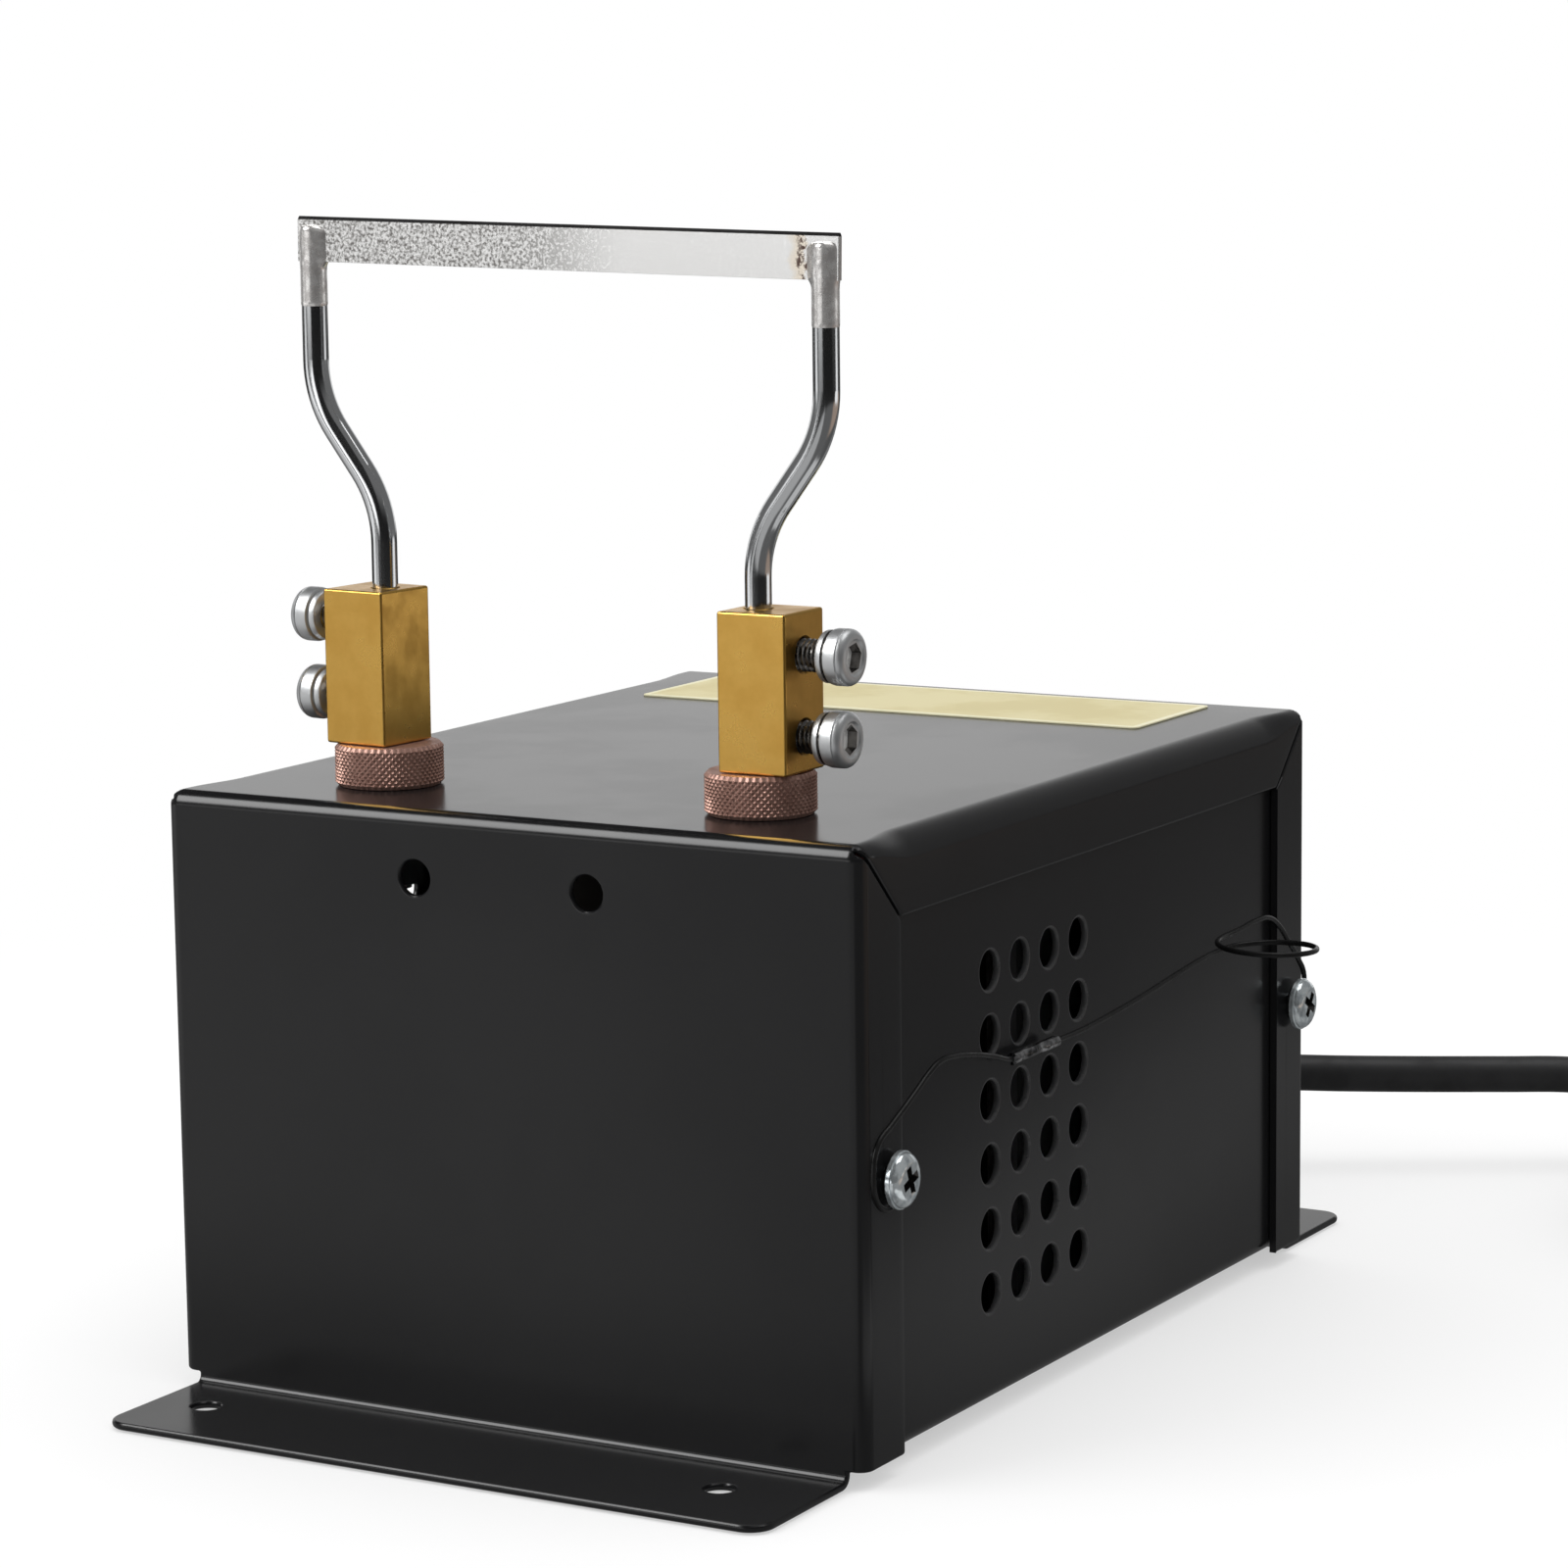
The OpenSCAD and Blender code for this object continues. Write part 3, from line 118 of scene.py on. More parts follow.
class NodeGraph:
    """Short-hand for adding nodes to one tree."""

    COLOUR_A = 6
    COLOUR_B = 7
    COLOUR_OUT = 2

    def __init__(self, tree: bpy.types.NodeTree) -> None:
        """Takes the tree that the nodes go into."""
        self.tree = tree

    def add(self, kind: str, values: dict[Any, Any] | None = None, links: dict[Any, Any] | None = None,
            **settings: Any) -> bpy.types.Node:
        """Adds one node.

        Args:
            kind: The node's type.
            values: Fixed values by input.
            links: Output sockets by the input that they feed.
            settings: Properties of the node.

        Returns:
            The node.
        """
        node = self.tree.nodes.new(kind)
        for key, value in settings.items():
            setattr(node, key, value)
        for key, value in (values or {}).items():
            node.inputs[key].default_value = value
        for key, source in (links or {}).items():
            self.tree.links.new(source, node.inputs[key])
        return node

    def cloud(self, where: Any, scale: float, grain: Grain = Grain.EVEN, detail: float = 4.0) -> Any:
        """Adds a noise pattern.

        Args:
            where: The coordinates.
            scale: Patches per metre.
            grain: How the patches are drawn out.
            detail: Octaves of finer noise.

        Returns:
            The factor socket.
        """
        spread = self.add("ShaderNodeMapping", {"Scale": grain.value}, {"Vector": where})
        values = {"Scale": scale, "Detail": detail, "Roughness": 0.6}
        return self.add("ShaderNodeTexNoise", values, {"Vector": spread.outputs[0]}).outputs[0]

    def span(self, source: Any, start: Pair, end: Pair = (0.0, 1.0)) -> Any:
        """Maps a socket smoothly from one range to another.

        Args:
            source: The socket.
            start: The range that it has.
            end: The range that it gets; with none given, it rises from 0 to 1.

        Returns:
            The mapped socket.
        """
        values = {"From Min": start[0], "From Max": start[1], "To Min": end[0], "To Max": end[1]}
        node = self.add("ShaderNodeMapRange", values, {"Value": source}, interpolation_type="SMOOTHSTEP")
        return node.outputs[0]

    def fall(self, source: Any, start: Pair) -> Any:
        """Falls smoothly from 1 to 0 over a range."""
        return self.span(source, start, (1.0, 0.0))

    def mix(self, factor: Any, low: Any, high: Any) -> Any:
        """Mixes two colours.

        Args:
            factor: The socket that chooses.
            low: A colour, a grey level or a socket, where the factor is 0.
            high: A colour, a grey level or a socket, where the factor is 1.

        Returns:
            The mixed colour's socket.
        """
        node = self.add("ShaderNodeMix", links={0: factor}, data_type="RGBA")
        for index, colour in ((self.COLOUR_A, low), (self.COLOUR_B, high)):
            if isinstance(colour, float):
                node.inputs[index].default_value = (colour, colour, colour, 1.0)
            elif isinstance(colour, tuple):
                node.inputs[index].default_value = (*colour, 1.0)
            else:
                self.tree.links.new(colour, node.inputs[index])
        return node.outputs[self.COLOUR_OUT]

    def math(self, operation: str, first: Any, second: float | None = None) -> Any:
        """Works on one socket.

        Args:
            operation: The Math node's operation.
            first: The socket.
            second: A fixed second value.

        Returns:
            The result's socket.
        """
        values = {} if second is None else {1: second}
        return self.add("ShaderNodeMath", values, {0: first}, operation=operation).outputs[0]

    def pair(self, operation: str, first: Any, second: Any) -> Any:
        """Works on two sockets with one Math operation."""
        return self.add("ShaderNodeMath", links={0: first, 1: second}, operation=operation).outputs[0]

    def both(self, *sockets: Any) -> Any:
        """Multiplies sockets, in their order.

        Args:
            sockets: The sockets.

        Returns:
            The product's socket.
        """
        result = sockets[0]
        for socket in sockets[1:]:
            result = self.pair("MULTIPLY", result, socket)
        return result

    def window(self, source: Any, rise: Pair, fall: Pair) -> Any:
        """Gives 1 between two borders and 0 outside.

        Args:
            source: The socket.
            rise: The range in which the result rises to 1.
            fall: The range in which it falls to 0 again.

        Returns:
            The result's socket.
        """
        return self.both(self.span(source, rise), self.fall(source, fall))


@dataclass(frozen=True)
class Finish:
    """A surface whose colour and gloss vary in patches, with a fine relief."""

    name: str
    slot: Slot
    colour: Colour
    shade: Colour
    gloss: Pair = (0.4, 0.55)
    metallic: float = 0.0
    specular: float = 0.5
    grain: Grain = Grain.EVEN
    patches: float = 80.0
    balance: Pair = (0.35, 0.6)
    relief: float = 0.0
    relief_scale: float = 1500.0
    relief_detail: float = 2.0

    def material(self) -> bpy.types.Material:
        """Gives the finish's material, made at its first use.

        Returns:
            The material.
        """
        known = bpy.data.materials.get(self.name)
        if known is not None:
            return known
        made = bpy.data.materials.new(self.name)
        made.use_nodes = True
        graph = NodeGraph(made.node_tree)
        shader = made.node_tree.nodes["Principled BSDF"]
        shader.inputs["Metallic"].default_value = self.metallic
        shader.inputs["Specular IOR Level"].default_value = self.specular
        where = graph.add("ShaderNodeTexCoord").outputs["Object"]
        patch = graph.span(graph.cloud(where, self.patches, self.grain), self.balance)
        made.node_tree.links.new(self.tint(graph, where, patch), shader.inputs["Base Color"])
        made.node_tree.links.new(self.polish(graph, where, patch), shader.inputs["Roughness"])
        if self.relief:
            bump = graph.add("ShaderNodeBump", {"Strength": 1.0, "Distance": self.relief * MM},
                             {"Height": self.height(graph, where)})
            made.node_tree.links.new(bump.outputs[0], shader.inputs["Normal"])
        return made

    def tint(self, graph: NodeGraph, where: Any, patch: Any) -> Any:
        """Mixes the two colours by the patches."""
        return graph.mix(patch, self.shade, self.colour)

    def polish(self, graph: NodeGraph, where: Any, patch: Any) -> Any:
        """Gives the roughness, highest in the shaded patches."""
        return graph.span(patch, (0.0, 1.0), (self.gloss[1], self.gloss[0]))

    def height(self, graph: NodeGraph, where: Any) -> Any:
        """Gives the height of the fine relief."""
        return graph.cloud(where, self.relief_scale, self.grain, self.relief_detail)


@dataclass(frozen=True)
class BandedFinish(Finish):
    """A finish with another past a place on one axis, with an uneven border."""

    axis: Axis = Axis.Z
    border: Pair = (0.0, 1.0)
    wobble: float = 1.0
    wobble_scale: float = 350.0
    beyond: Colour = (0.5, 0.5, 0.5)
    beyond_gloss: float = 0.4

    def past_border(self, graph: NodeGraph, where: Any) -> Any:
        """Tells how far a place lies past the border.

        Args:
            graph: The material's nodes.
            where: The coordinates.

        Returns:
            A socket from 0 before the border to 1 past it.
        """
        along = graph.add("ShaderNodeSeparateXYZ", links={0: where}).outputs[self.axis.value]
        drift = graph.math("MULTIPLY", graph.cloud(where, self.wobble_scale), self.wobble * MM)
        place = graph.pair("ADD", along, drift)
        return graph.span(place, (self.border[0] * MM, self.border[1] * MM))

    def tint(self, graph: NodeGraph, where: Any, patch: Any) -> Any:
        """Mixes in the colour past the border."""
        return graph.mix(self.past_border(graph, where), super().tint(graph, where, patch), self.beyond)

    def polish(self, graph: NodeGraph, where: Any, patch: Any) -> Any:
        """Gives the roughness, which changes past the border too.

        Args:
            graph: The material's nodes.
            where: The coordinates.
            patch: The patches.

        Returns:
            The roughness's socket.
        """
        near = super().polish(graph, where, patch)
        far = graph.span(self.past_border(graph, where), (0.0, 1.0), (0.0, self.beyond_gloss))
        return graph.pair("MAXIMUM", near, far)


@dataclass(frozen=True)
class WornFinish(Finish):
    """A speckled finish that grows plain along X, with a heat stain towards its end."""

    plain_from: Pair = (0.0, 1.0)
    plain_share: float = 0.92
    stain: Colour = (0.6, 0.5, 0.4)
    stain_from: Pair = (0.0, 1.0)
    stain_ends: Pair = (2.0, 3.0)
    burn: Colour = (0.2, 0.1, 0.1)
    burn_from: Pair = (0.0, 1.0)
    drift: float = 0.6
    drift_scale: float = 500.0
    drift_balance: Pair = (0.3, 0.7)
    spot_scale: float = 1500.0
    spot_balance: Pair = (0.46, 0.56)

    def along(self, graph: NodeGraph, where: Any) -> Any:
        """Gives the place along X in millimetres."""
        x = graph.add("ShaderNodeSeparateXYZ", links={0: where}).outputs[Axis.X.value]
        return graph.math("MULTIPLY", x, 1 / MM)

    def evened(self, graph: NodeGraph, where: Any, patch: Any) -> Any:
        """Takes the speckles out where the finish is plain."""
        plain = graph.span(self.along(graph, where), self.plain_from, (0.0, self.plain_share))
        return graph.pair("MAXIMUM", patch, plain)

    def tint(self, graph: NodeGraph, where: Any, patch: Any) -> Any:
        """Mixes the stain and the burnt spots in along X.

        Args:
            graph: The material's nodes.
            where: The coordinates.
            patch: The patches.

        Returns:
            The colour's socket.
        """
        colour = super().tint(graph, where, self.evened(graph, where, patch))
        drift = graph.span(graph.cloud(where, self.drift_scale), self.drift_balance,
                           (-self.drift, self.drift))
        along = graph.pair("ADD", self.along(graph, where), drift)
        spots = graph.span(graph.cloud(where, self.spot_scale), self.spot_balance)
        colour = graph.mix(graph.window(along, self.stain_from, self.stain_ends), colour, self.stain)
        burnt = graph.both(graph.window(along, self.burn_from, self.stain_ends), spots)
        return graph.mix(burnt, colour, self.burn)

    def polish(self, graph: NodeGraph, where: Any, patch: Any) -> Any:
        """Gives the roughness, even where the finish is plain."""
        return super().polish(graph, where, self.evened(graph, where, patch))


@dataclass(frozen=True)
class LinedFinish(Finish):
    """A finish of fine parallel lines, such as laminations or wound wire."""

    WAVES_PER_UNIT = 20.0 / math.tau

    axis: Axis = Axis.Z
    pitch: float = 0.5

    def lines(self, graph: NodeGraph, where: Any) -> Any:
        """Gives a wave across the lines.

        Args:
            graph: The material's nodes.
            where: The coordinates.

        Returns:
            A socket from 0 in the gaps to 1 on the lines.
        """
        values = {"Scale": 1.0 / (self.pitch * MM * self.WAVES_PER_UNIT)}
        node = graph.add("ShaderNodeTexWave", values, {"Vector": where}, bands_direction=self.axis.name)
        return node.outputs["Fac"]

    def tint(self, graph: NodeGraph, where: Any, patch: Any) -> Any:
        """Darkens the gaps between the lines."""
        return graph.mix(self.lines(graph, where), self.shade, super().tint(graph, where, patch))

    def height(self, graph: NodeGraph, where: Any) -> Any:
        """Raises the lines."""
        return self.lines(graph, where)


ENAMEL = Finish("black_enamel", Slot.CASE, (0.0085, 0.0085, 0.009), (0.0065, 0.0065, 0.007), (0.2, 0.22),
                specular=0.4, patches=25.0, relief=0.0015, relief_scale=1800.0)
# Lighter enamel for the vent walls and rims: a painted highlight.
VENT_RIM_HIGHLIGHT = Finish("painted_vent_rim_highlight", Slot.CASE, (0.034, 0.034, 0.035), (0.026, 0.026, 0.027), (0.26, 0.36),
                    patches=200.0)
LABEL_FILM = Finish("label_film", Slot.LABEL, (0.66, 0.585, 0.3), (0.61, 0.53, 0.27), (0.34, 0.44),
                    patches=60.0, specular=0.35, relief=0.004)
LABEL_RIM = Finish("label_rim", Slot.LABEL, (0.8, 0.76, 0.52), (0.74, 0.7, 0.46), (0.34, 0.44),
                   patches=60.0, specular=0.35)
ZINC = Finish("bright_zinc", Slot.ZINC, (0.88, 0.94, 0.96), (0.5, 0.55, 0.58), (0.1, 0.24), 0.8,
              patches=500.0)
BRASS = Finish("drawn_brass", Slot.BRASS, (0.79, 0.475, 0.113), (0.69, 0.395, 0.086), (0.27, 0.36), 1.0,
               patches=160.0, balance=(0.3, 0.68))
COLLAR_METAL = Finish("collar_red_brass", Slot.COLLAR, (0.5, 0.3, 0.245), (0.38, 0.22, 0.176),
                      (0.46, 0.58), 0.75, patches=300.0)
SCREW_STEEL = Finish("screw_steel", Slot.SCREW, (0.74, 0.73, 0.72), (0.6, 0.59, 0.58), (0.1, 0.18), 1.0,
                     patches=300.0, relief=0.002)
# Dark steel for threads, neck slits, socket walls and cross recesses: painted shade in those grooves and
# hollows.
PAINTED_SHADE_STEEL = Finish("painted_shade_steel", Slot.SCREW, (0.24, 0.23, 0.22), (0.12, 0.115, 0.11), (0.16, 0.28), 1.0,
                      patches=300.0)
# Near-white, nearly matt floor of the hexagon sockets: a painted highlight for the light that the socket
# catches.
SOCKET_HIGHLIGHT = Finish("painted_socket_highlight", Slot.SCREW, (0.86, 0.85, 0.83), (0.6, 0.59, 0.58), (0.3, 0.4), 0.1,
                      patches=900.0)
LEG_CHROME = Finish("leg_chrome", Slot.LEG, (0.86, 0.86, 0.87), (0.78, 0.78, 0.79), (0.035, 0.06), 1.0,
                    grain=Grain.ALONG_Z, patches=600.0)
SOLDER = Finish("silver_solder", Slot.LEG, (0.92, 0.9, 0.88), (0.6, 0.575, 0.56), (0.2, 0.32), 0.74,
                patches=500.0, relief=0.008, relief_scale=900.0)
BLADE_STRIP = WornFinish("blade_strip", Slot.BLADE, (0.9, 0.895, 0.885), (0.2, 0.19, 0.18), (0.26, 0.4), 1.0,
                         patches=2100.0, balance=(0.34, 0.62), relief=0.006, relief_scale=1700.0,
                         plain_from=(-14.0, 12.0), stain=(0.84, 0.76, 0.65),
                         stain_from=(38.8, 41.0), burn=(0.1, 0.06, 0.05), burn_from=(40.6, 41.6),
                         stain_ends=(41.8, 42.5))
BLADE_EDGE = Finish("blade_edge", Slot.BLADE, (0.012, 0.0115, 0.0115), (0.006, 0.0055, 0.0055), (0.5, 0.65),
                    specular=0.1, grain=Grain.ALONG_X, patches=900.0)
SLEEVE_METAL = Finish("blackened_sleeve", Slot.WIRE, (0.5, 0.5, 0.51), (0.05, 0.05, 0.051), (0.08, 0.2), 1.0,
                      patches=500.0)
CORD_PVC = Finish("cord_pvc", Slot.CORD, (0.023, 0.023, 0.024), (0.017, 0.017, 0.018), (0.44, 0.56),
                  patches=120.0, specular=0.4, relief=0.01, relief_scale=1800.0)
TIE_STRAP = Finish("tie_strap", Slot.CORD, (0.03, 0.03, 0.032), (0.016, 0.016, 0.017), (0.55, 0.75),
                   patches=900.0, relief=0.08, relief_scale=1400.0)
WIRE_PVC = Finish("wire_pvc", Slot.WIRE, (0.009, 0.009, 0.009), (0.006, 0.006, 0.006), (0.24, 0.34),
                  patches=300.0, specular=0.25)
SWITCH_NYLON = Finish("switch_nylon", Slot.SWITCH, (0.012, 0.012, 0.013), (0.008, 0.008, 0.009), (0.3, 0.42),
                      patches=200.0, relief=0.012, relief_scale=2600.0)
INSULATOR = Finish("brown_laminate", Slot.INSULATOR, (0.13, 0.05, 0.02), (0.07, 0.026, 0.012), (0.35, 0.5),
                   patches=400.0, relief=0.01)
CORE_IRON = LinedFinish("core_laminations", Slot.CORE, (0.34, 0.33, 0.32), (0.06, 0.055, 0.05),
                        (0.32, 0.5), 1.0, patches=200.0, relief=0.08, axis=Axis.Y, pitch=0.5)
BOBBIN = Finish("bobbin_nylon", Slot.BOBBIN, (0.62, 0.6, 0.54), (0.52, 0.5, 0.44), (0.4, 0.55))
WOUND_COPPER = LinedFinish("wound_copper", Slot.COPPER, (0.52, 0.2, 0.09), (0.14, 0.045, 0.02),
                           (0.22, 0.36), 1.0, relief=0.5, axis=Axis.Z, pitch=2.2)
TAPE = Finish("winding_tape", Slot.TAPE, (0.66, 0.47, 0.06), (0.5, 0.34, 0.04), (0.22, 0.34), relief=0.02,
              relief_scale=600.0)
BRACKET_STEEL = Finish("bracket_zinc", Slot.BRACKET, (0.56, 0.57, 0.55), (0.4, 0.4, 0.37), (0.3, 0.48), 1.0,
                       patches=150.0)
LEAD_SLEEVE = Finish("lead_sleeve", Slot.LEAD, (0.3, 0.018, 0.012), (0.22, 0.012, 0.009), (0.5, 0.65),
                     relief=0.03, relief_scale=2200.0)
WIRE_BROWN = Finish("core_brown", Slot.BROWN, (0.12, 0.045, 0.02), (0.09, 0.032, 0.014), (0.35, 0.45))
WIRE_BLUE = Finish("core_blue", Slot.BLUE, (0.02, 0.07, 0.3), (0.014, 0.05, 0.22), (0.35, 0.45))
WIRE_GREEN = BandedFinish("core_green", Slot.GREEN, (0.04, 0.2, 0.05), (0.03, 0.15, 0.04), (0.35, 0.45),
                          axis=Axis.Z, border=(9.0, 9.6), beyond=(0.55, 0.45, 0.03), beyond_gloss=0.4)
CONTACT_BRASS = Finish("contact_brass", Slot.CONTACT, (0.68, 0.5, 0.2), (0.45, 0.3, 0.1), (0.22, 0.36), 1.0,
                       grain=Grain.ALONG_Y, patches=600.0)


def node_box(node: str) -> tuple[Vector, Vector]:
    """Gives a node's lowest and highest corners in millimetres."""
    low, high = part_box(node)
    return Vector(low) / MM, Vector(high) / MM


def node_middle(node: str) -> Vector:
    """Gives the middle of a node's box in millimetres."""
    low, high = node_box(node)
    return (low + high) / 2


def smooth_step(value: float, start: float, end: float) -> float:
    """Rises smoothly from 0 at start to 1 at end.

    Args:
        value: The place.
        start: Where the rise begins.
        end: Where it ends; lower than start for a fall.

    Returns:
        The height, from 0 to 1.
    """
    share = min(max((value - start) / (end - start), 0.0), 1.0)
    return share * share * (3.0 - 2.0 * share)


def placed(place: Sequence[float], turn: float = 0.0, axis: str = "Z") -> Matrix:
    """Gives a place, turned by an angle in radians about an axis there."""
    return Matrix.Translation(place) @ Matrix.Rotation(turn, 4, axis)


def quarter(centre: Pair, reach: Pair, steps: int) -> Profile:
    """Gives a quarter round of a profile, from its side to its top.

    Args:
        centre: Radius and height of its centre.
        reach: How far it goes out and up from there.
        steps: Its facets.

    Returns:
        Pairs of radius and height.
    """
    angles = [math.pi / 2 * step / steps for step in range(steps + 1)]
    return [(centre[0] + reach[0] * math.cos(angle), centre[1] + reach[1] * math.sin(angle))
            for angle in angles]


def settle(piece: bpy.types.Object, body: str, finishes: Sequence[Finish], stands_for: Sequence[str]) -> None:
    """Dresses a piece and hands it to its body.

    Args:
        piece: The object.
        body: The body that it rides on.
        finishes: Its finishes, the main one first.
        stands_for: The nodes that it replaces.
    """
    for finish in finishes:
        piece.data.materials.append(finish.material())
    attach(piece, body)
    if stands_for:
        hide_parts(*stands_for)
    LOG.info("%s on %s", piece.name, body)


def lay_cord(name: str, route: Sequence[Vector], diameter: float) -> bpy.types.Object:
    """Makes a round cord on one smooth curve.

    Args:
        name: The piece's name.
        route: The points that it passes.
        diameter: Its thickness.

    Returns:
        The curve object.
    """
    data = bpy.data.curves.new(name, "CURVE")
    data.dimensions = "3D"
    data.bevel_depth = diameter / 2 * MM
    data.bevel_resolution = 6
    data.resolution_u = 6
    data.use_fill_caps = True
    spline = data.splines.new("BEZIER")
    spline.bezier_points.add(len(route) - 1)
    for knot, point in zip(spline.bezier_points, route):
        knot.co = point * MM
        knot.handle_left_type = "AUTO"
        knot.handle_right_type = "AUTO"
    cord = bpy.data.objects.new(name, data)
    bpy.context.scene.collection.objects.link(cord)
    return cord


class Solid:
    """A mesh in the making, in millimetres."""

    MERGE = 0.002
    ALONG = 0.9
    THREAD_FORM = ((0.0, 0.0), (1.0, 0.42), (1.0, 0.54), (0.0, 0.96), (0.0, 1.0))

    def __init__(self) -> None:
        """Starts with no vertices."""
        self.mesh = bmesh.new()

    @classmethod
    def box(cls, low: Sequence[float], high: Sequence[float]) -> "Solid":
        """Makes a box between two corners.

        Args:
            low: The lowest corner.
            high: The highest corner.

        Returns:
            The box.
        """
        solid = cls()
        size = Vector(high) - Vector(low)
        middle = (Vector(high) + Vector(low)) / 2
        place = Matrix.Translation(middle) @ Matrix.Diagonal((*size, 1.0))
        bmesh.ops.create_cube(solid.mesh, size=1.0, matrix=place)
        return solid

    @classmethod
    def turned(cls, profile: Profile, steps: int = 48, ring: bool = False) -> "Solid":
        """Turns a profile about Z.

        Args:
            profile: Pairs of radius and height.
            steps: Facets in the round.
            ring: Whether the last point joins the first, round a bore.

        Returns:
            The turned solid.
        """
        solid = cls()
        verts = [solid.mesh.verts.new((radius, 0.0, height)) for radius, height in profile]
        pairs = list(zip(verts, verts[1:]))
        if ring:
            pairs.append((verts[-1], verts[0]))
        edges = [solid.mesh.edges.new(pair) for pair in pairs]
        bmesh.ops.spin(solid.mesh, geom=verts + edges, cent=(0.0, 0.0, 0.0), axis=(0.0, 0.0, 1.0),
                       angle=math.tau, steps=steps, use_merge=True, use_duplicate=False)
        return solid.mended()

    @classmethod
    def bar(cls, radius: float, low: float, high: float, steps: int) -> "Solid":
        """Makes a round bar along Z, mostly to cut a bore."""
        return cls.turned([(0.0, low), (radius, low), (radius, high), (0.0, high)], steps)

    @classmethod
    def threaded(cls, radius: float, depth: float, pitch: float, length: float, steps: int = 20) -> "Solid":
        """Makes a threaded rod from Z 0 up.

        Args:
            radius: Radius over the crests.
            depth: Depth of the thread.
            pitch: Rise in one turn.
            length: Length of the rod.
            steps: Facets in a turn.

        Returns:
            The rod, cut flat at both ends.
        """
        solid = cls()
        root = radius - depth
        verts = [solid.mesh.verts.new((root + depth * crest, 0.0, (rise - 1.0) * pitch))
                 for crest, rise in cls.THREAD_FORM]
        edges = [solid.mesh.edges.new(pair) for pair in zip(verts, verts[1:])]
        turns = math.ceil(length / pitch) + 2
        bmesh.ops.spin(solid.mesh, geom=verts + edges, cent=(0.0, 0.0, 0.0), axis=(0.0, 0.0, 1.0),
                       dvec=(0.0, 0.0, pitch / steps), angle=math.tau * turns, steps=steps * turns,
                       use_merge=False, use_duplicate=False)
        solid.mended()
        solid.cut((0.0, 0.0, 0.0), (0.0, 0.0, -1.0))
        solid.cut((0.0, 0.0, length), (0.0, 0.0, 1.0))
        return solid

    @classmethod
    def of_node(cls, node: str, merge: float = 0.01) -> "Solid":
        """Makes a merged copy of a node's mesh.

        Args:
            node: The node's name.
            merge: Distance up to which vertices are merged.

        Returns:
            The copy, with its flat faces joined.
        """
        solid = cls()
        solid.mesh.from_mesh(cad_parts[node].data)
        bmesh.ops.scale(solid.mesh, vec=(1 / MM,) * 3, verts=solid.mesh.verts)
        bmesh.ops.remove_doubles(solid.mesh, verts=solid.mesh.verts, dist=merge)
        bmesh.ops.dissolve_limit(solid.mesh, angle_limit=math.radians(1), verts=solid.mesh.verts,
                                 edges=solid.mesh.edges)
        return solid

    def mended(self) -> "Solid":
        """Merges doubles and turns the faces outwards.

        Returns:
            This solid.
        """
        bmesh.ops.remove_doubles(self.mesh, verts=self.mesh.verts, dist=self.MERGE)
        bmesh.ops.recalc_face_normals(self.mesh, faces=self.mesh.faces)
        return self

    def moved(self, place: Matrix) -> "Solid":
        """Moves or turns the whole mesh."""
        bmesh.ops.transform(self.mesh, matrix=place, verts=self.mesh.verts)
        return self

    def cut(self, point: Sequence[float], normal: Sequence[float]) -> "Solid":
        """Cuts away what lies past a plane and closes the cut.

        Args:
            point: A point on the plane.
            normal: The side that goes.

        Returns:
            This solid.
        """
        geom = [*self.mesh.verts, *self.mesh.edges, *self.mesh.faces]
        bmesh.ops.bisect_plane(self.mesh, geom=geom, plane_co=point, plane_no=normal, clear_outer=True)
        rim = [edge for edge in self.mesh.edges if edge.is_boundary]
        bmesh.ops.holes_fill(self.mesh, edges=rim, sides=len(rim))
        bmesh.ops.recalc_face_normals(self.mesh, faces=self.mesh.faces)
        return self

    def rounded(self, edges: Sequence[bmesh.types.BMEdge], width: float, segments: int,
                clamp: bool = True) -> "Solid":
        """Rounds the edges that are given.

        Args:
            edges: The edges.
            width: Width of the rounding.
            segments: Facets across it.
            clamp: Whether the shortest edge limits every rounding.

        Returns:
            This solid.
        """
        bmesh.ops.bevel(self.mesh, geom=edges, offset=width, offset_type="OFFSET", segments=segments,
                        profile=0.5, affect="EDGES", clamp_overlap=clamp, material=-1)
        return self

    def bevelled(self, width: float, segments: int = 2, least: float = 40.0, clamp: bool = True) -> "Solid":
        """Rounds the sharp edges.

        Args:
            width: Width of the rounding.
            segments: Facets across it.
            least: Angle between faces, in degrees, from which an edge is rounded.
            clamp: Whether the shortest edge limits every rounding.

        Returns:
            This solid.
        """
        edges = [edge for edge in self.mesh.edges
                 if edge.is_manifold and edge.calc_face_angle() > math.radians(least)]
        return self.rounded(edges, width, segments, clamp)

    def edges_along(self, axis: Axis) -> list[bmesh.types.BMEdge]:
        """Gives the edges that run along an axis."""
        return [edge for edge in self.mesh.edges
                if abs((edge.verts[1].co - edge.verts[0].co).normalized()[axis.value]) > self.ALONG]

    def extruded(self, faces: list[Any], way: Sequence[float]) -> tuple[list[Any], list[Any]]:
        """Extrudes faces.

        Args:
            faces: The faces.
            way: How far and where to.

        Returns:
            The new vertices and the new faces.
        """
        grown = bmesh.ops.extrude_face_region(self.mesh, geom=faces)["geom"]
        verts = [item for item in grown if isinstance(item, bmesh.types.BMVert)]
        bmesh.ops.translate(self.mesh, vec=way, verts=verts)
        return verts, [item for item in grown if isinstance(item, bmesh.types.BMFace)]

    def marked(self, index: int, chosen: Callable[[Any, Vector], bool]) -> "Solid":
        """Gives some faces another of the piece's finishes.

        Args:
            index: The finish's place in the piece's list.
            chosen: Tells from a face and its middle whether it is one of them.

        Returns:
            This solid.
        """
        for face in self.mesh.faces:
            if chosen(face, face.calc_center_median()):
                face.material_index = index
        return self

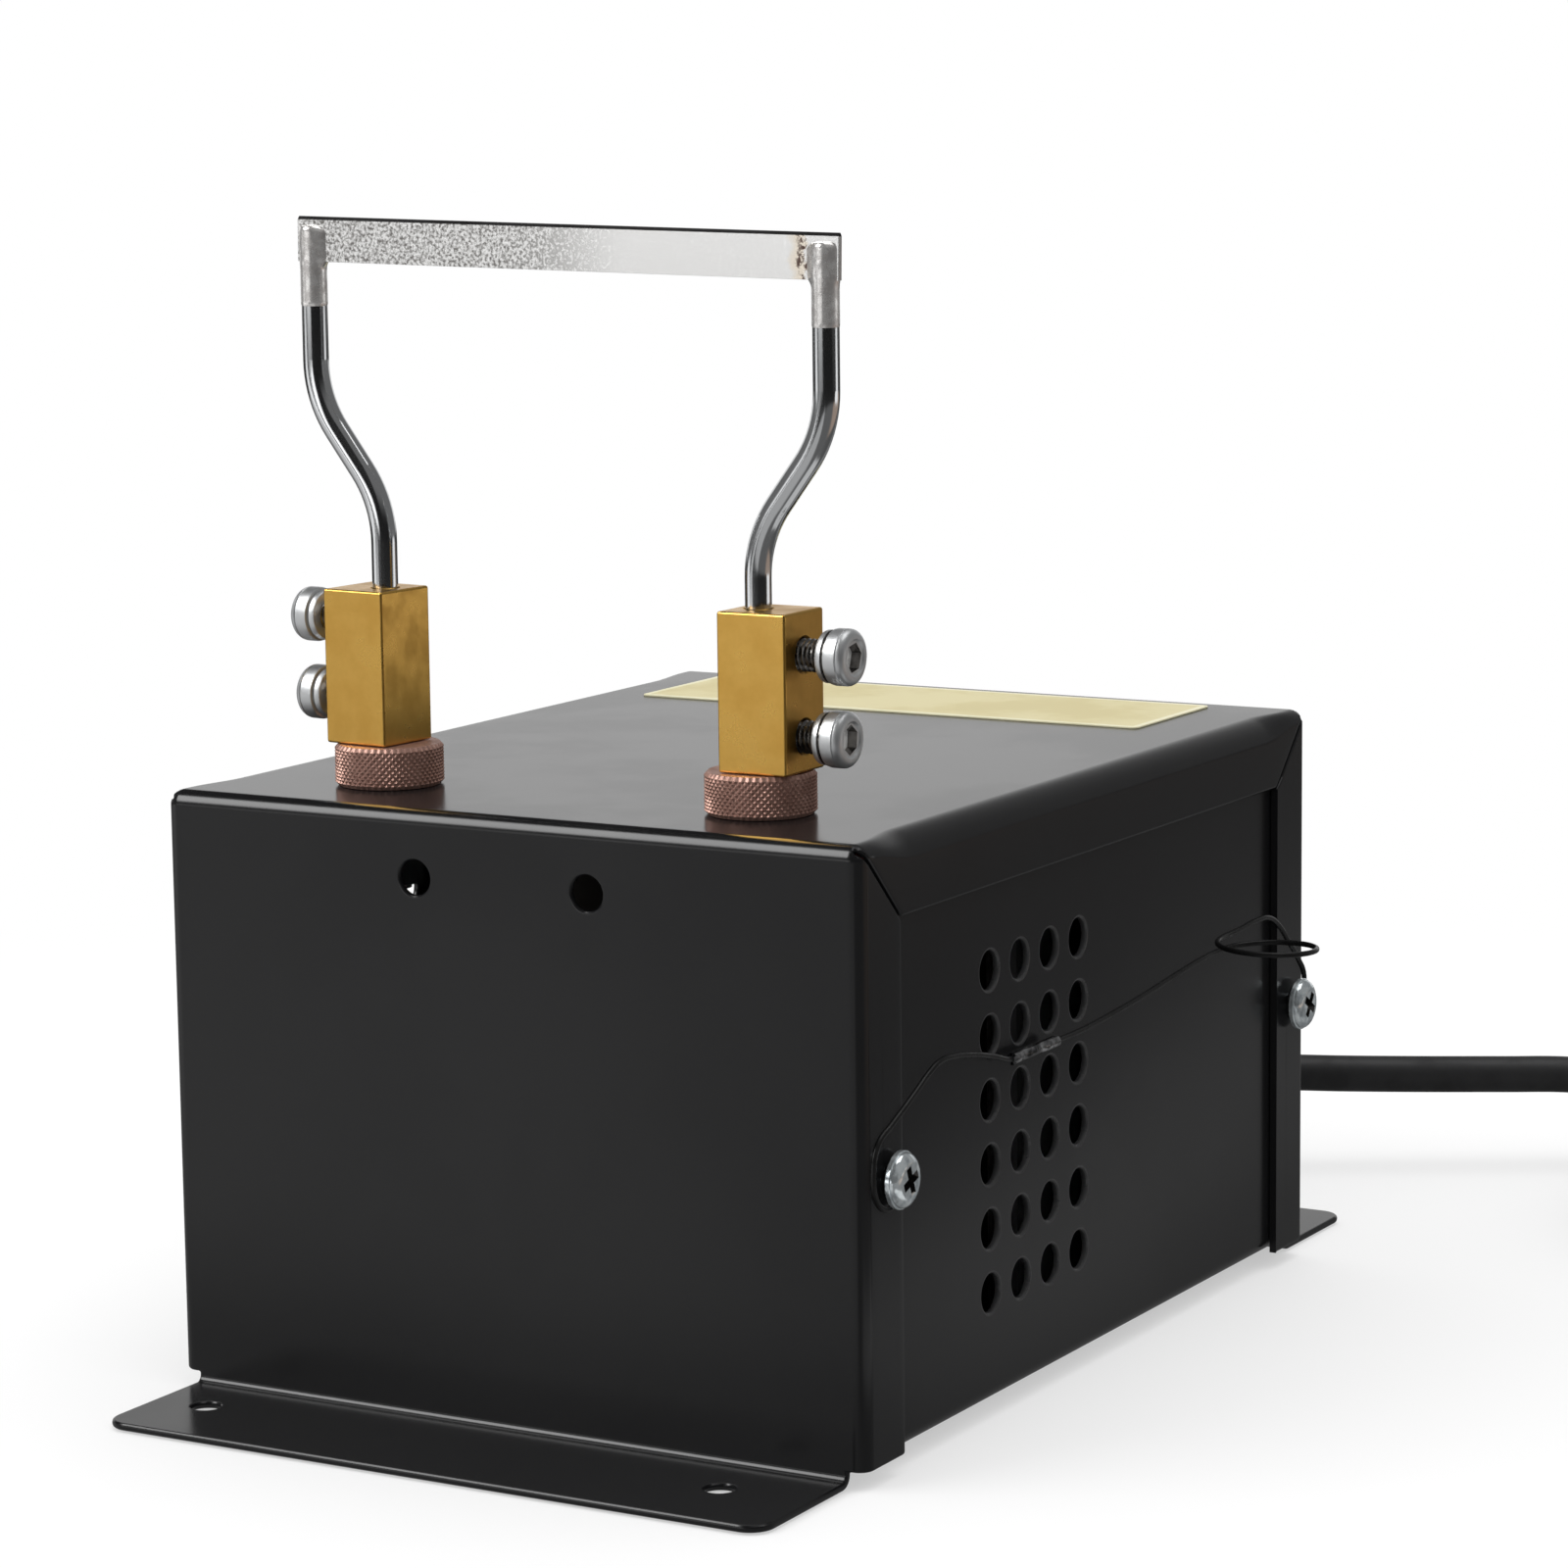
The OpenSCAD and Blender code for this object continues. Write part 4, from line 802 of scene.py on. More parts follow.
    def joined(self, other: "Solid") -> "Solid":
        """Takes in another solid's mesh, which is used up.

        Args:
            other: The other solid.

        Returns:
            This solid.
        """
        carrier = bpy.data.meshes.new("carrier")
        other.mesh.to_mesh(carrier)
        other.mesh.free()
        self.mesh.from_mesh(carrier)
        bpy.data.meshes.remove(carrier)
        return self

    def stand_in(self, name: str) -> bpy.types.Object:
        """Makes an object of the mesh, which is used up.

        Args:
            name: The object's name.

        Returns:
            The object.
        """
        data = bpy.data.meshes.new(name)
        self.mesh.to_mesh(data)
        self.mesh.free()
        piece = bpy.data.objects.new(name, data)
        bpy.context.scene.collection.objects.link(piece)
        return piece

    def carved(self, *tools: "Solid") -> "Solid":
        """Cuts other solids out of this one.

        Args:
            tools: The solids to cut out, which are used up.

        Returns:
            This solid.
        """
        for tool in tools:
            body = self.stand_in("carved_body")
            cutter = tool.stand_in("carving_tool")
            change = body.modifiers.new("carve", "BOOLEAN")
            change.object = cutter
            change.solver = "EXACT"
            graph = bpy.context.evaluated_depsgraph_get()
            result = bpy.data.meshes.new_from_object(body.evaluated_get(graph))
            self.mesh = bmesh.new()
            self.mesh.from_mesh(result)
            for data in (body.data, cutter.data, result):
                bpy.data.meshes.remove(data)
        return self

    def place(self, name: str, body: str, *finishes: Finish, stands_for: Sequence[str] = (),
              smooth: float = 30.0) -> bpy.types.Object:
        """Puts the finished mesh into the scene as a piece.

        Args:
            name: The piece's name.
            body: The body that it rides on.
            finishes: Its finishes, the main one first.
            stands_for: The nodes that it replaces.
            smooth: Angle between faces, in degrees, up to which they shade as one.

        Returns:
            The piece.
        """
        bmesh.ops.scale(self.mesh, vec=(MM,) * 3, verts=self.mesh.verts)
        piece = self.stand_in(name)
        piece.data.shade_smooth()
        piece.data.set_sharp_from_angle(angle=math.radians(smooth))
        weigh = piece.modifiers.new("weighted_normals", "WEIGHTED_NORMAL")
        weigh.keep_sharp = True
        settle(piece, body, finishes, stands_for)
        return piece


@dataclass
class Viewpoint:
    """The camera at the photograph's viewing angle."""

    place: Point = (388.3, -668.7, 209.3)
    yaw: float = 29.89
    pitch: float = 8.85
    roll: float = -0.69
    focal_pixels: float = 4914.3
    frame_pixels: float = 1600.0
    sensor: float = 36.0
    clip_start: float = 0.01

    def axes(self) -> tuple[Vector, Vector, Vector]:
        """Works out the camera's own axes.

        Returns:
            The directions of its right, its up and its view.
        """
        yaw, pitch, roll = (math.radians(angle) for angle in (self.yaw, self.pitch, self.roll))
        view = Vector((-math.sin(yaw) * math.cos(pitch), math.cos(yaw) * math.cos(pitch), -math.sin(pitch)))
        level = Vector((math.cos(yaw), math.sin(yaw), 0.0))
        above = level.cross(view)
        right = level * math.cos(roll) + above * math.sin(roll)
        up = above * math.cos(roll) - level * math.sin(roll)
        return right, up, view

    def build(self) -> None:
        """Adds the camera and makes it the scene's."""
        data = bpy.data.cameras.new("viewpoint")
        data.sensor_width = self.sensor
        data.lens = self.sensor * self.focal_pixels / self.frame_pixels
        data.clip_start = self.clip_start
        camera = bpy.data.objects.new("viewpoint", data)
        right, up, view = self.axes()
        turn = Matrix((right, up, -view)).transposed().to_4x4()
        camera.matrix_world = Matrix.Translation(Vector(self.place) * MM) @ turn
        bpy.context.scene.collection.objects.link(camera)
        bpy.context.scene.camera = camera


@dataclass(frozen=True)
class Lamp:
    """A soft lamp: its place and size in metres, and its power in watts."""

    name: str
    place: Point
    size: Pair
    power: float
    aim: Point = (0.0, 0.0, 0.08)

    def hang(self) -> None:
        """Hangs the lamp so that it shines at the object."""
        data = bpy.data.lights.new(self.name, "AREA")
        data.shape = "RECTANGLE"
        data.size, data.size_y = self.size
        data.energy = self.power
        lamp = bpy.data.objects.new(self.name, data)
        way = Vector(self.aim) - Vector(self.place)
        turn = way.to_track_quat("-Z", "Y").to_matrix().to_4x4()
        lamp.matrix_world = Matrix.Translation(self.place) @ turn
        bpy.context.scene.collection.objects.link(lamp)


@dataclass(frozen=True)
class Room:
    """The room in the world: levels of its zones, and their borders as parts of a ray's direction.

    Facing is the part towards the viewer, aside the part to the viewer's right.
    """

    viewer_way: Point = (0.537, -0.843, 0.0)
    right_way: Point = (0.843, 0.537, 0.0)
    grey: float = 0.88
    bright: float = 1.1
    glow: float = 1.65
    strip: float = 6.0
    behind_viewer: float = 0.012
    far_side: float = 0.05
    wall: float = 0.16
    table: float = 0.5
    ceiling: float = 0.02
    far_right: Colour = (0.36, 0.28, 0.23)
    horizon: Pair = (-0.06, -0.035)
    dim_facing: Pair = (-0.1, 0.1)
    side_rise: Pair = (-0.45, -0.2)
    side_fall: Pair = (0.5, 0.62)
    side_aside: Pair = (-0.1, 0.1)
    side_shift: Pair = (0.0, 0.3)
    level_rise: Pair = (-0.34, -0.24)
    level_fall: Pair = (0.04, 0.16)
    level_height: Pair = (-0.125, -0.1)
    table_height: Pair = (-0.5, -0.28)
    rear_rise: Pair = (-0.62, -0.54)
    rear_fall: Pair = (-0.34, -0.28)
    rear_aside: Pair = (0.3, 0.6)
    rear_height: Pair = (-0.115, -0.1)
    front_rise: Pair = (0.1, 0.5)
    front_fall: Pair = (0.75, 0.9)
    front_aside: Pair = (-0.6, -0.4)
    front_height: Pair = (0.08, 0.17)
    viewer_facing: Pair = (0.45, 0.75)
    back_facing: Pair = (-0.85, -0.6)
    ceiling_height: Pair = (0.25, 0.42)
    wall_height: Pair = (0.12, 0.56)
    wall_aside: Pair = (0.03, 0.12)
    strip_x: tuple[Pair, Pair] = ((-0.72, -0.64), (-0.42, -0.34))
    strip_y: Pair = (-0.3, -0.15)
    strip_z: tuple[Pair, Pair] = ((0.3, 0.42), (0.8, 0.9))

    def below(self, graph: NodeGraph, facing: Any, aside: Any, height: Any) -> Any:
        """Colours what lies under the horizon, such as the table round the object.

        Args:
            graph: The world's nodes.
            facing: How far the ray goes towards the viewer.
            aside: How far it goes to the right.
            height: How far it goes up.

        Returns:
            The colour's socket.
        """
        turned = graph.pair("ADD", facing, graph.span(aside, self.side_aside, self.side_shift))
        sides = graph.both(graph.span(facing, self.side_rise), graph.fall(turned, self.side_fall))
        dim = graph.mix(graph.span(facing, self.dim_facing), self.far_side, self.behind_viewer)
        level = graph.mix(graph.window(facing, self.level_rise, self.level_fall), dim, self.bright)
        low = graph.mix(sides, dim, self.bright)
        colour = graph.mix(graph.span(height, self.level_height), low, level)
        colour = graph.mix(graph.fall(height, self.table_height), colour, self.table)
        rear = graph.both(graph.window(facing, self.rear_rise, self.rear_fall),
                          graph.span(aside, self.rear_aside), graph.fall(height, self.rear_height))
        return graph.mix(rear, colour, self.far_right)

    def above(self, graph: NodeGraph, facing: Any, aside: Any, height: Any) -> Any:
        """Colours the walls and the ceiling.

        Args:
            graph: The world's nodes.
            facing: How far the ray goes towards the viewer.
            aside: How far it goes to the right.
            height: How far it goes up.

        Returns:
            The colour's socket.
        """
        front = graph.both(graph.window(facing, self.front_rise, self.front_fall),
                           graph.fall(aside, self.front_aside), graph.fall(height, self.front_height))
        walls = graph.mix(graph.span(facing, self.viewer_facing), self.wall, self.behind_viewer)
        walls = graph.mix(front, walls, self.glow)
        walls = graph.mix(graph.fall(facing, self.back_facing), walls, self.grey)
        left = graph.mix(graph.span(height, self.ceiling_height), walls, self.ceiling)
        right = graph.mix(graph.span(height, self.wall_height), walls, self.wall)
        return graph.mix(graph.span(aside, self.wall_aside), left, right)

    def build(self) -> None:
        """Gives the world: white to the camera, the room to mirrors, an even grey to everything else."""
        world = bpy.data.worlds.new("studio_room")
        world.use_nodes = True
        bpy.context.scene.world = world
        graph = NodeGraph(world.node_tree)
        way = graph.add("ShaderNodeTexCoord").outputs["Generated"]
        parts = []
        for axis in (self.viewer_way, self.right_way):
            part = graph.add("ShaderNodeVectorMath", {1: axis}, {0: way}, operation="DOT_PRODUCT")
            parts.append(part.outputs["Value"])
        along = graph.add("ShaderNodeSeparateXYZ", links={0: way}).outputs
        parts.append(along["Z"])
        below = self.below(graph, *parts)
        room = graph.mix(graph.span(along["Z"], self.horizon), below, self.above(graph, *parts))
        strip = graph.both(graph.window(along["X"], *self.strip_x), graph.window(along["Z"], *self.strip_z),
                           graph.fall(along["Y"], self.strip_y))
        room = graph.mix(strip, room, self.strip)
        rays = graph.add("ShaderNodeLightPath").outputs
        plain = graph.mix(rays["Is Glossy Ray"], self.grey, room)
        colour = graph.mix(rays["Is Camera Ray"], plain, 1.0)
        world.node_tree.links.new(colour, world.node_tree.nodes["Background"].inputs["Color"])


@dataclass(frozen=True)
class Floor:
    """The pale floor: levels and borders, in metres, of the zones that mirrors show."""

    radius: float = 4.0
    segments: int = 96
    sunk: float = 0.0003
    shade: float = 0.93
    bounce: float = 0.4
    white_from: Pair = (0.16, 0.4)
    white_share: Pair = (0.5, 1.0)
    ends_at: Pair = (0.75, 0.9)
    front_slant: float = -0.637
    front_from: Pair = (0.05, 0.135)
    front_glint: Pair = (0.63, 0.45)
    front_near: Pair = (-0.18, -0.1)
    front_share: Pair = (1.0, 0.55)
    right_slant: float = -0.19
    right_from: Pair = (0.1, 0.14)
    right_glint: Pair = (0.28, 0.1)
    right_near: Pair = (0.055, 0.085)
    right_share: Pair = (0.65, 1.0)
    far_from: Pair = (0.26, 0.3)
    far_right: Colour = Room.far_right
    viewer_slant: float = 0.45
    viewer_from: Pair = (0.0, 0.05)
    viewer_glint: float = 0.13
    right_behind: Pair = (-0.1, 0.05)
    corner_x: tuple[Pair, Pair] = ((0.105, 0.12), (0.16, 0.18))
    corner_y: tuple[Pair, Pair] = ((-0.14, -0.11), (-0.01, 0.01))
    corner_glint: float = 0.6

    def slanted(self, graph: NodeGraph, along: Any, slant: float) -> Any:
        """Gives X plus a share of Y, which grows across a slanting border."""
        return graph.pair("ADD", along["X"], graph.math("MULTIPLY", along["Y"], slant))

    def glint(self, graph: NodeGraph, along: Any) -> Any:
        """Colours the glow that mirror rays see on the floor: painted reflection light, set darker or
        brighter zone by zone.

        Args:
            graph: The material's nodes.
            along: The coordinates, apart.

        Returns:
            The colour's socket.
        """
        front = graph.both(graph.span(self.slanted(graph, along, self.front_slant), self.front_from,
                                      self.front_glint),
                           graph.span(along["Y"], self.front_near, self.front_share))
        past = self.slanted(graph, along, self.right_slant)
        right = graph.both(graph.span(past, self.right_from, self.right_glint),
                           graph.span(past, self.right_near, self.right_share))
        right = graph.mix(graph.span(past, self.far_from), right, self.far_right)
        viewer = graph.span(self.slanted(graph, along, self.viewer_slant), self.viewer_from)
        colour = graph.mix(viewer, front, self.viewer_glint)
        colour = graph.mix(graph.span(along["Y"], self.right_behind), colour, right)
        corner = graph.both(graph.window(along["X"], *self.corner_x),
                            graph.window(along["Y"], *self.corner_y))
        return graph.mix(corner, colour, self.corner_glint)

    def paper(self) -> bpy.types.Material:
        """Makes the floor's material, which fades to white away from the object.

        Returns:
            The material.
        """
        made = bpy.data.materials.new("floor_paper")
        made.use_nodes = True
        graph = NodeGraph(made.node_tree)
        where = graph.add("ShaderNodeTexCoord").outputs["Object"]
        reach = graph.add("ShaderNodeVectorMath", links={0: where}, operation="LENGTH").outputs["Value"]
        rays = graph.add("ShaderNodeLightPath").outputs
        white = graph.both(graph.span(reach, self.white_from, self.white_share), rays["Is Camera Ray"])
        along = graph.add("ShaderNodeSeparateXYZ", links={0: where}).outputs
        gone = graph.both(graph.span(reach, self.ends_at), rays["Is Glossy Ray"])
        shade = graph.mix(rays["Is Camera Ray"], self.bounce, self.shade)
        matt = graph.add("ShaderNodeBsdfDiffuse", links={"Color": shade})
        # Mirror rays see the floor as an emission, a glow lit by no lamp that paints the reflections in the
        # object.
        colour = graph.mix(rays["Is Glossy Ray"], 1.0, self.glint(graph, along))
        glow = graph.add("ShaderNodeEmission", links={"Color": colour})
        clear = graph.add("ShaderNodeBsdfTransparent")
        share = graph.pair("MAXIMUM", white, rays["Is Glossy Ray"])
        lit = graph.add("ShaderNodeMixShader", links={0: share, 1: matt.outputs[0], 2: glow.outputs[0]})
        blend = graph.add("ShaderNodeMixShader", links={0: gone, 1: lit.outputs[0], 2: clear.outputs[0]})
        ending = made.node_tree.nodes["Material Output"]
        made.node_tree.links.new(blend.outputs[0], ending.inputs["Surface"])
        return made

    def build(self) -> None:
        """Lays the floor just under the object."""
        data = bpy.data.meshes.new("studio_floor")
        disc = bmesh.new()
        bmesh.ops.create_circle(disc, cap_ends=True, radius=self.radius, segments=self.segments)
        bmesh.ops.translate(disc, vec=(0.0, 0.0, -self.sunk), verts=disc.verts)
        disc.to_mesh(data)
        disc.free()
        floor = bpy.data.objects.new("studio_floor", data)
        bpy.context.scene.collection.objects.link(floor)
        data.materials.append(self.paper())


@dataclass(frozen=True)
class Studio:
    """A pale floor and soft lamps in a room that is darker behind the viewer."""

    room: Room = Room()
    floor: Floor = Floor()
    lamps: tuple[Lamp, ...] = (Lamp("key_lamp", (-0.64, -0.81, 0.96), (0.8, 0.8), 5.0),
                               Lamp("top_lamp", (0.3, 0.3, 1.7), (1.2, 1.2), 7.0))

    def build(self) -> None:
        """Sets the room, the floor and the lamps."""
        bpy.context.scene.view_settings.view_transform = "Standard"
        self.room.build()
        self.floor.build()
        for lamp in self.lamps:
            lamp.hang()


@dataclass
class MainsLead:
    """The mains lead: its free stretch, its coil with the tie, and the plug."""

    cord_d: float = 6.8
    coil_centre: Pair = (147.5, 141.0)
    coil_r: float = 30.0
    coil_pitch: float = 7.6
    coil_turns: float = 2.685
    coil_soft: float = 0.1
    coil_climb: float = 0.5
    loop_rings: int = 24
    entry_angle: float = 118.0
    tie_t: float = 1.0
    tie_w: float = 9.0
    tie_gap: float = 0.3
    tie_room: float = 0.8
    tie_corner: float = 3.0
    tie_edge: float = 0.2
    sleeve_l: float = 24.0
    sleeve_rings: int = 6
    ring_pitch: float = 3.8
    ring_depth: float = 0.5
    ring_grows: Pair = (1.0, 3.0)
    plug_l: float = 34.0
    plug_w: float = 27.0
    plug_corner: float = 5.0
    plug_edge: float = 1.6
    plug_taper: Point = (0.74, 0.7, 1.0)
    grooves: int = 4
    groove_from: float = 11.0
    groove_pitch: float = 4.4
    groove_size: Point = (13.0, 2.0, 1.8)
    groove_edge: float = 0.4
    groove_lift: float = 0.1
    pin_size: Point = (6.3, 1.5, 16.0)
    pin_root: float = 2.0
    pin_edge: float = 0.3
    pin_hole_r: float = 1.6
    pin_hole_in: float = 4.0
    pin_gap: float = 12.7
    pin_rise: float = 3.0
    earth_r: float = 2.4
    earth_l: float = 15.6
    earth_drop: float = 6.0

    def mid_angle(self) -> float:
        """The coil's angle half way along, in degrees."""
        return self.entry_angle - 360.0 * self.coil_turns

    def coil_radius(self, turn: float) -> float:
        """The coil's radius so many turns from its middle."""
        return self.coil_r + self.coil_pitch * (math.hypot(turn, self.coil_soft) - self.coil_soft)

    def coil_point(self, turn: float) -> Vector:
        """Gives a point of the coil.

        Args:
            turn: Turns from the coil's middle.

        Returns:
            The point.
        """
        angle = math.radians(self.mid_angle() - 360.0 * turn)
        radius = self.coil_radius(turn)
        low = self.tie_t + self.tie_gap + self.cord_d / 2
        climb = smooth_step(turn, -self.coil_climb / 2, self.coil_climb / 2)
        return Vector((self.coil_centre[0] + radius * math.cos(angle),
                       self.coil_centre[1] + radius * math.sin(angle), low + self.coil_pitch * climb))

    def coil_ways(self) -> tuple[Vector, Vector]:
        """Gives the directions in which the cord enters and leaves the coil.

        Returns:
            The two directions.
        """
        nudge = 0.001
        turns = self.coil_turns
        way_in = self.coil_point(nudge - turns) - self.coil_point(-turns)
        way_out = self.coil_point(turns) - self.coil_point(turns - nudge)
        return way_in.normalized(), way_out.normalized()

    def route(self) -> list[Vector]:
        """Gives the whole route, from the strain relief to the plug.

        Returns:
            The points that the cord passes.
        """
        free = ((14, 102.5, 18), (14, 110, 18), (16, 118.5, 18), (21.5, 127.5, 17.9), (30, 134.5, 17.8),
                (43, 141.5, 17.5), (56, 148.5, 17.3), (68, 155, 17.2), (79, 161, 17), (85, 164, 16.3),
                (90.5, 167, 14.2), (95.5, 169.8, 10.9), (100.5, 172.4, 7.5), (106, 175.4, 5.4))
        way_in, way_out = self.coil_ways()
        steps = round(2 * self.coil_turns * self.loop_rings)
        turns = [self.coil_point(self.coil_turns * (2 * i / steps - 1)) for i in range(steps + 1)]
        lead_in = [turns[0] - way_in * self.cord_d * share for share in (2.0, 1.0)]
        lead_out = [turns[-1] + way_out * self.cord_d * 1.5]
        return [Vector(point) for point in free] + lead_in + turns + lead_out

    def at_plug(self) -> Matrix:
        """Places the plug: its own Z runs on from the cord, its own X points down.

        Returns:
            The place.
        """
        way_out = self.coil_ways()[1]
        heading = math.atan2(way_out.y, way_out.x)
        return placed(self.route()[-1], heading) @ Matrix.Rotation(math.pi / 2, 4, "Y")

    def build_tie(self) -> bpy.types.Object:
        """Makes the strap round the coil, with rounded corners.

        Returns:
            The piece.
        """
        near = self.coil_radius(0.5) - self.cord_d / 2 - self.tie_room - self.tie_t
        outermost = math.floor(self.coil_turns + 0.5) - 0.5
        far = self.coil_radius(outermost) + self.cord_d / 2 + self.tie_room + self.tie_t
        height = self.cord_d + self.coil_pitch + 2 * self.tie_gap + 2 * self.tie_t
        strap = Solid.box((near, -self.tie_w / 2, 0.0), (far, self.tie_w / 2, height))
        ends = [face for face in strap.mesh.faces if abs(face.normal.y) > 0.9]
        bmesh.ops.delete(strap.mesh, geom=ends, context="FACES_ONLY")
        strap.rounded(strap.edges_along(Axis.Y), self.tie_corner, 5)
        bmesh.ops.solidify(strap.mesh, geom=strap.mesh.faces, thickness=self.tie_t)
        strap.mended().bevelled(self.tie_edge, 2, 60.0)
        strap.moved(placed((*self.coil_centre, 0.0), math.radians(self.mid_angle() + 180.0)))
        return strap.place("coil_strap", "case", TIE_STRAP, stands_for=["cord_tie"])

    def sleeve(self) -> Solid:
        """Makes the ribbed sleeve between the cord and the plug.

        Returns:
            The sleeve, along Z from the cord.
        """
        neck = self.cord_d / 2
        near, far = self.ring_grows
        top = self.sleeve_l + 1.0
        profile = [(0.0, 0.3), (neck + 0.8, 0.3)]
        for ring in range(self.sleeve_rings):
            foot = 1.0 + ring * self.ring_pitch
            radius = neck + near + (far - near) * foot / self.sleeve_l
            gap = radius - self.ring_depth
            profile += [(radius, foot), (radius + 0.2, foot + 2.4), (gap, foot + 2.7), (gap, foot + 3.5)]
        profile += [(neck + far, top), (0.0, top)]
        return Solid.turned(profile, 32)

    def build_plug(self) -> bpy.types.Object:
        """Makes the moulded plug with its ribbed sleeve and finger grooves.

        Returns:
            The piece.
        """
        depth = 2 * self.route()[-1].z
        plug = Solid.box((-depth / 2, -self.plug_w / 2, self.sleeve_l),
                         (depth / 2, self.plug_w / 2, self.sleeve_l + self.plug_l))
        plug.rounded(plug.edges_along(Axis.Z), self.plug_corner, 6)
        back = [vert for vert in plug.mesh.verts if vert.co.z < self.sleeve_l + 1.0]
        bmesh.ops.scale(plug.mesh, vec=self.plug_taper, verts=back)
        plug.bevelled(self.plug_edge, 4)
        length, depth, height = self.groove_size
        for groove in range(self.grooves):
            base = self.sleeve_l + self.groove_from + self.groove_pitch * groove
            for way in (-1, 1):
                rib = Solid.box((-length / 2, -depth / 2, base), (length / 2, depth / 2, base + height))
                rib.bevelled(self.groove_edge)
                reach = way * (self.plug_w / 2 - self.groove_lift)
                plug.carved(rib.moved(placed((0.0, reach, 0.0))))
        plug.joined(self.sleeve()).moved(self.at_plug())
        return plug.place("moulded_plug", "case", CORD_PVC, stands_for=["plug_body"])

    def build_pins(self) -> bpy.types.Object:
        """Makes the two flat pins and the round earth pin.

        Returns:
            The piece.
        """
        face = self.sleeve_l + self.plug_l
        width, thick, tip = self.pin_size
        root = -self.pin_root
        pins = Solid()
        for way in (-1, 1):
            flat = Solid.box((-width / 2, -thick / 2, root), (width / 2, thick / 2, tip))
            flat.bevelled(self.pin_edge)
            hole = Solid.bar(self.pin_hole_r, -2.0, 2.0, 24)
            flat.carved(hole.moved(placed((0.0, 0.0, tip - self.pin_hole_in), math.pi / 2, "X")))
            pins.joined(flat.moved(placed((-self.pin_rise, way * self.pin_gap / 2, face))))
        radius = self.earth_r
        dome = quarter((0.0, self.earth_l), (radius, radius), 3)
        earth = Solid.turned([(0.0, root), (radius, root)] + dome, 32)
        pins.joined(earth.moved(placed((self.earth_drop, 0.0, face))))
        pins.moved(self.at_plug())
        return pins.place("plug_blades", "case", CONTACT_BRASS, stands_for=["plug_pins"])

    def build(self) -> None:
        route = self.route()
        lead = lay_cord("mains_lead", route, self.cord_d)
        settle(lead, "case", [CORD_PVC], ["mains_cord", "cord_coil"])
        pieces = [self.build_plug(), self.build_pins(), self.build_tie()]
        for piece in (lead, *pieces):
            piece.visible_glossy = False


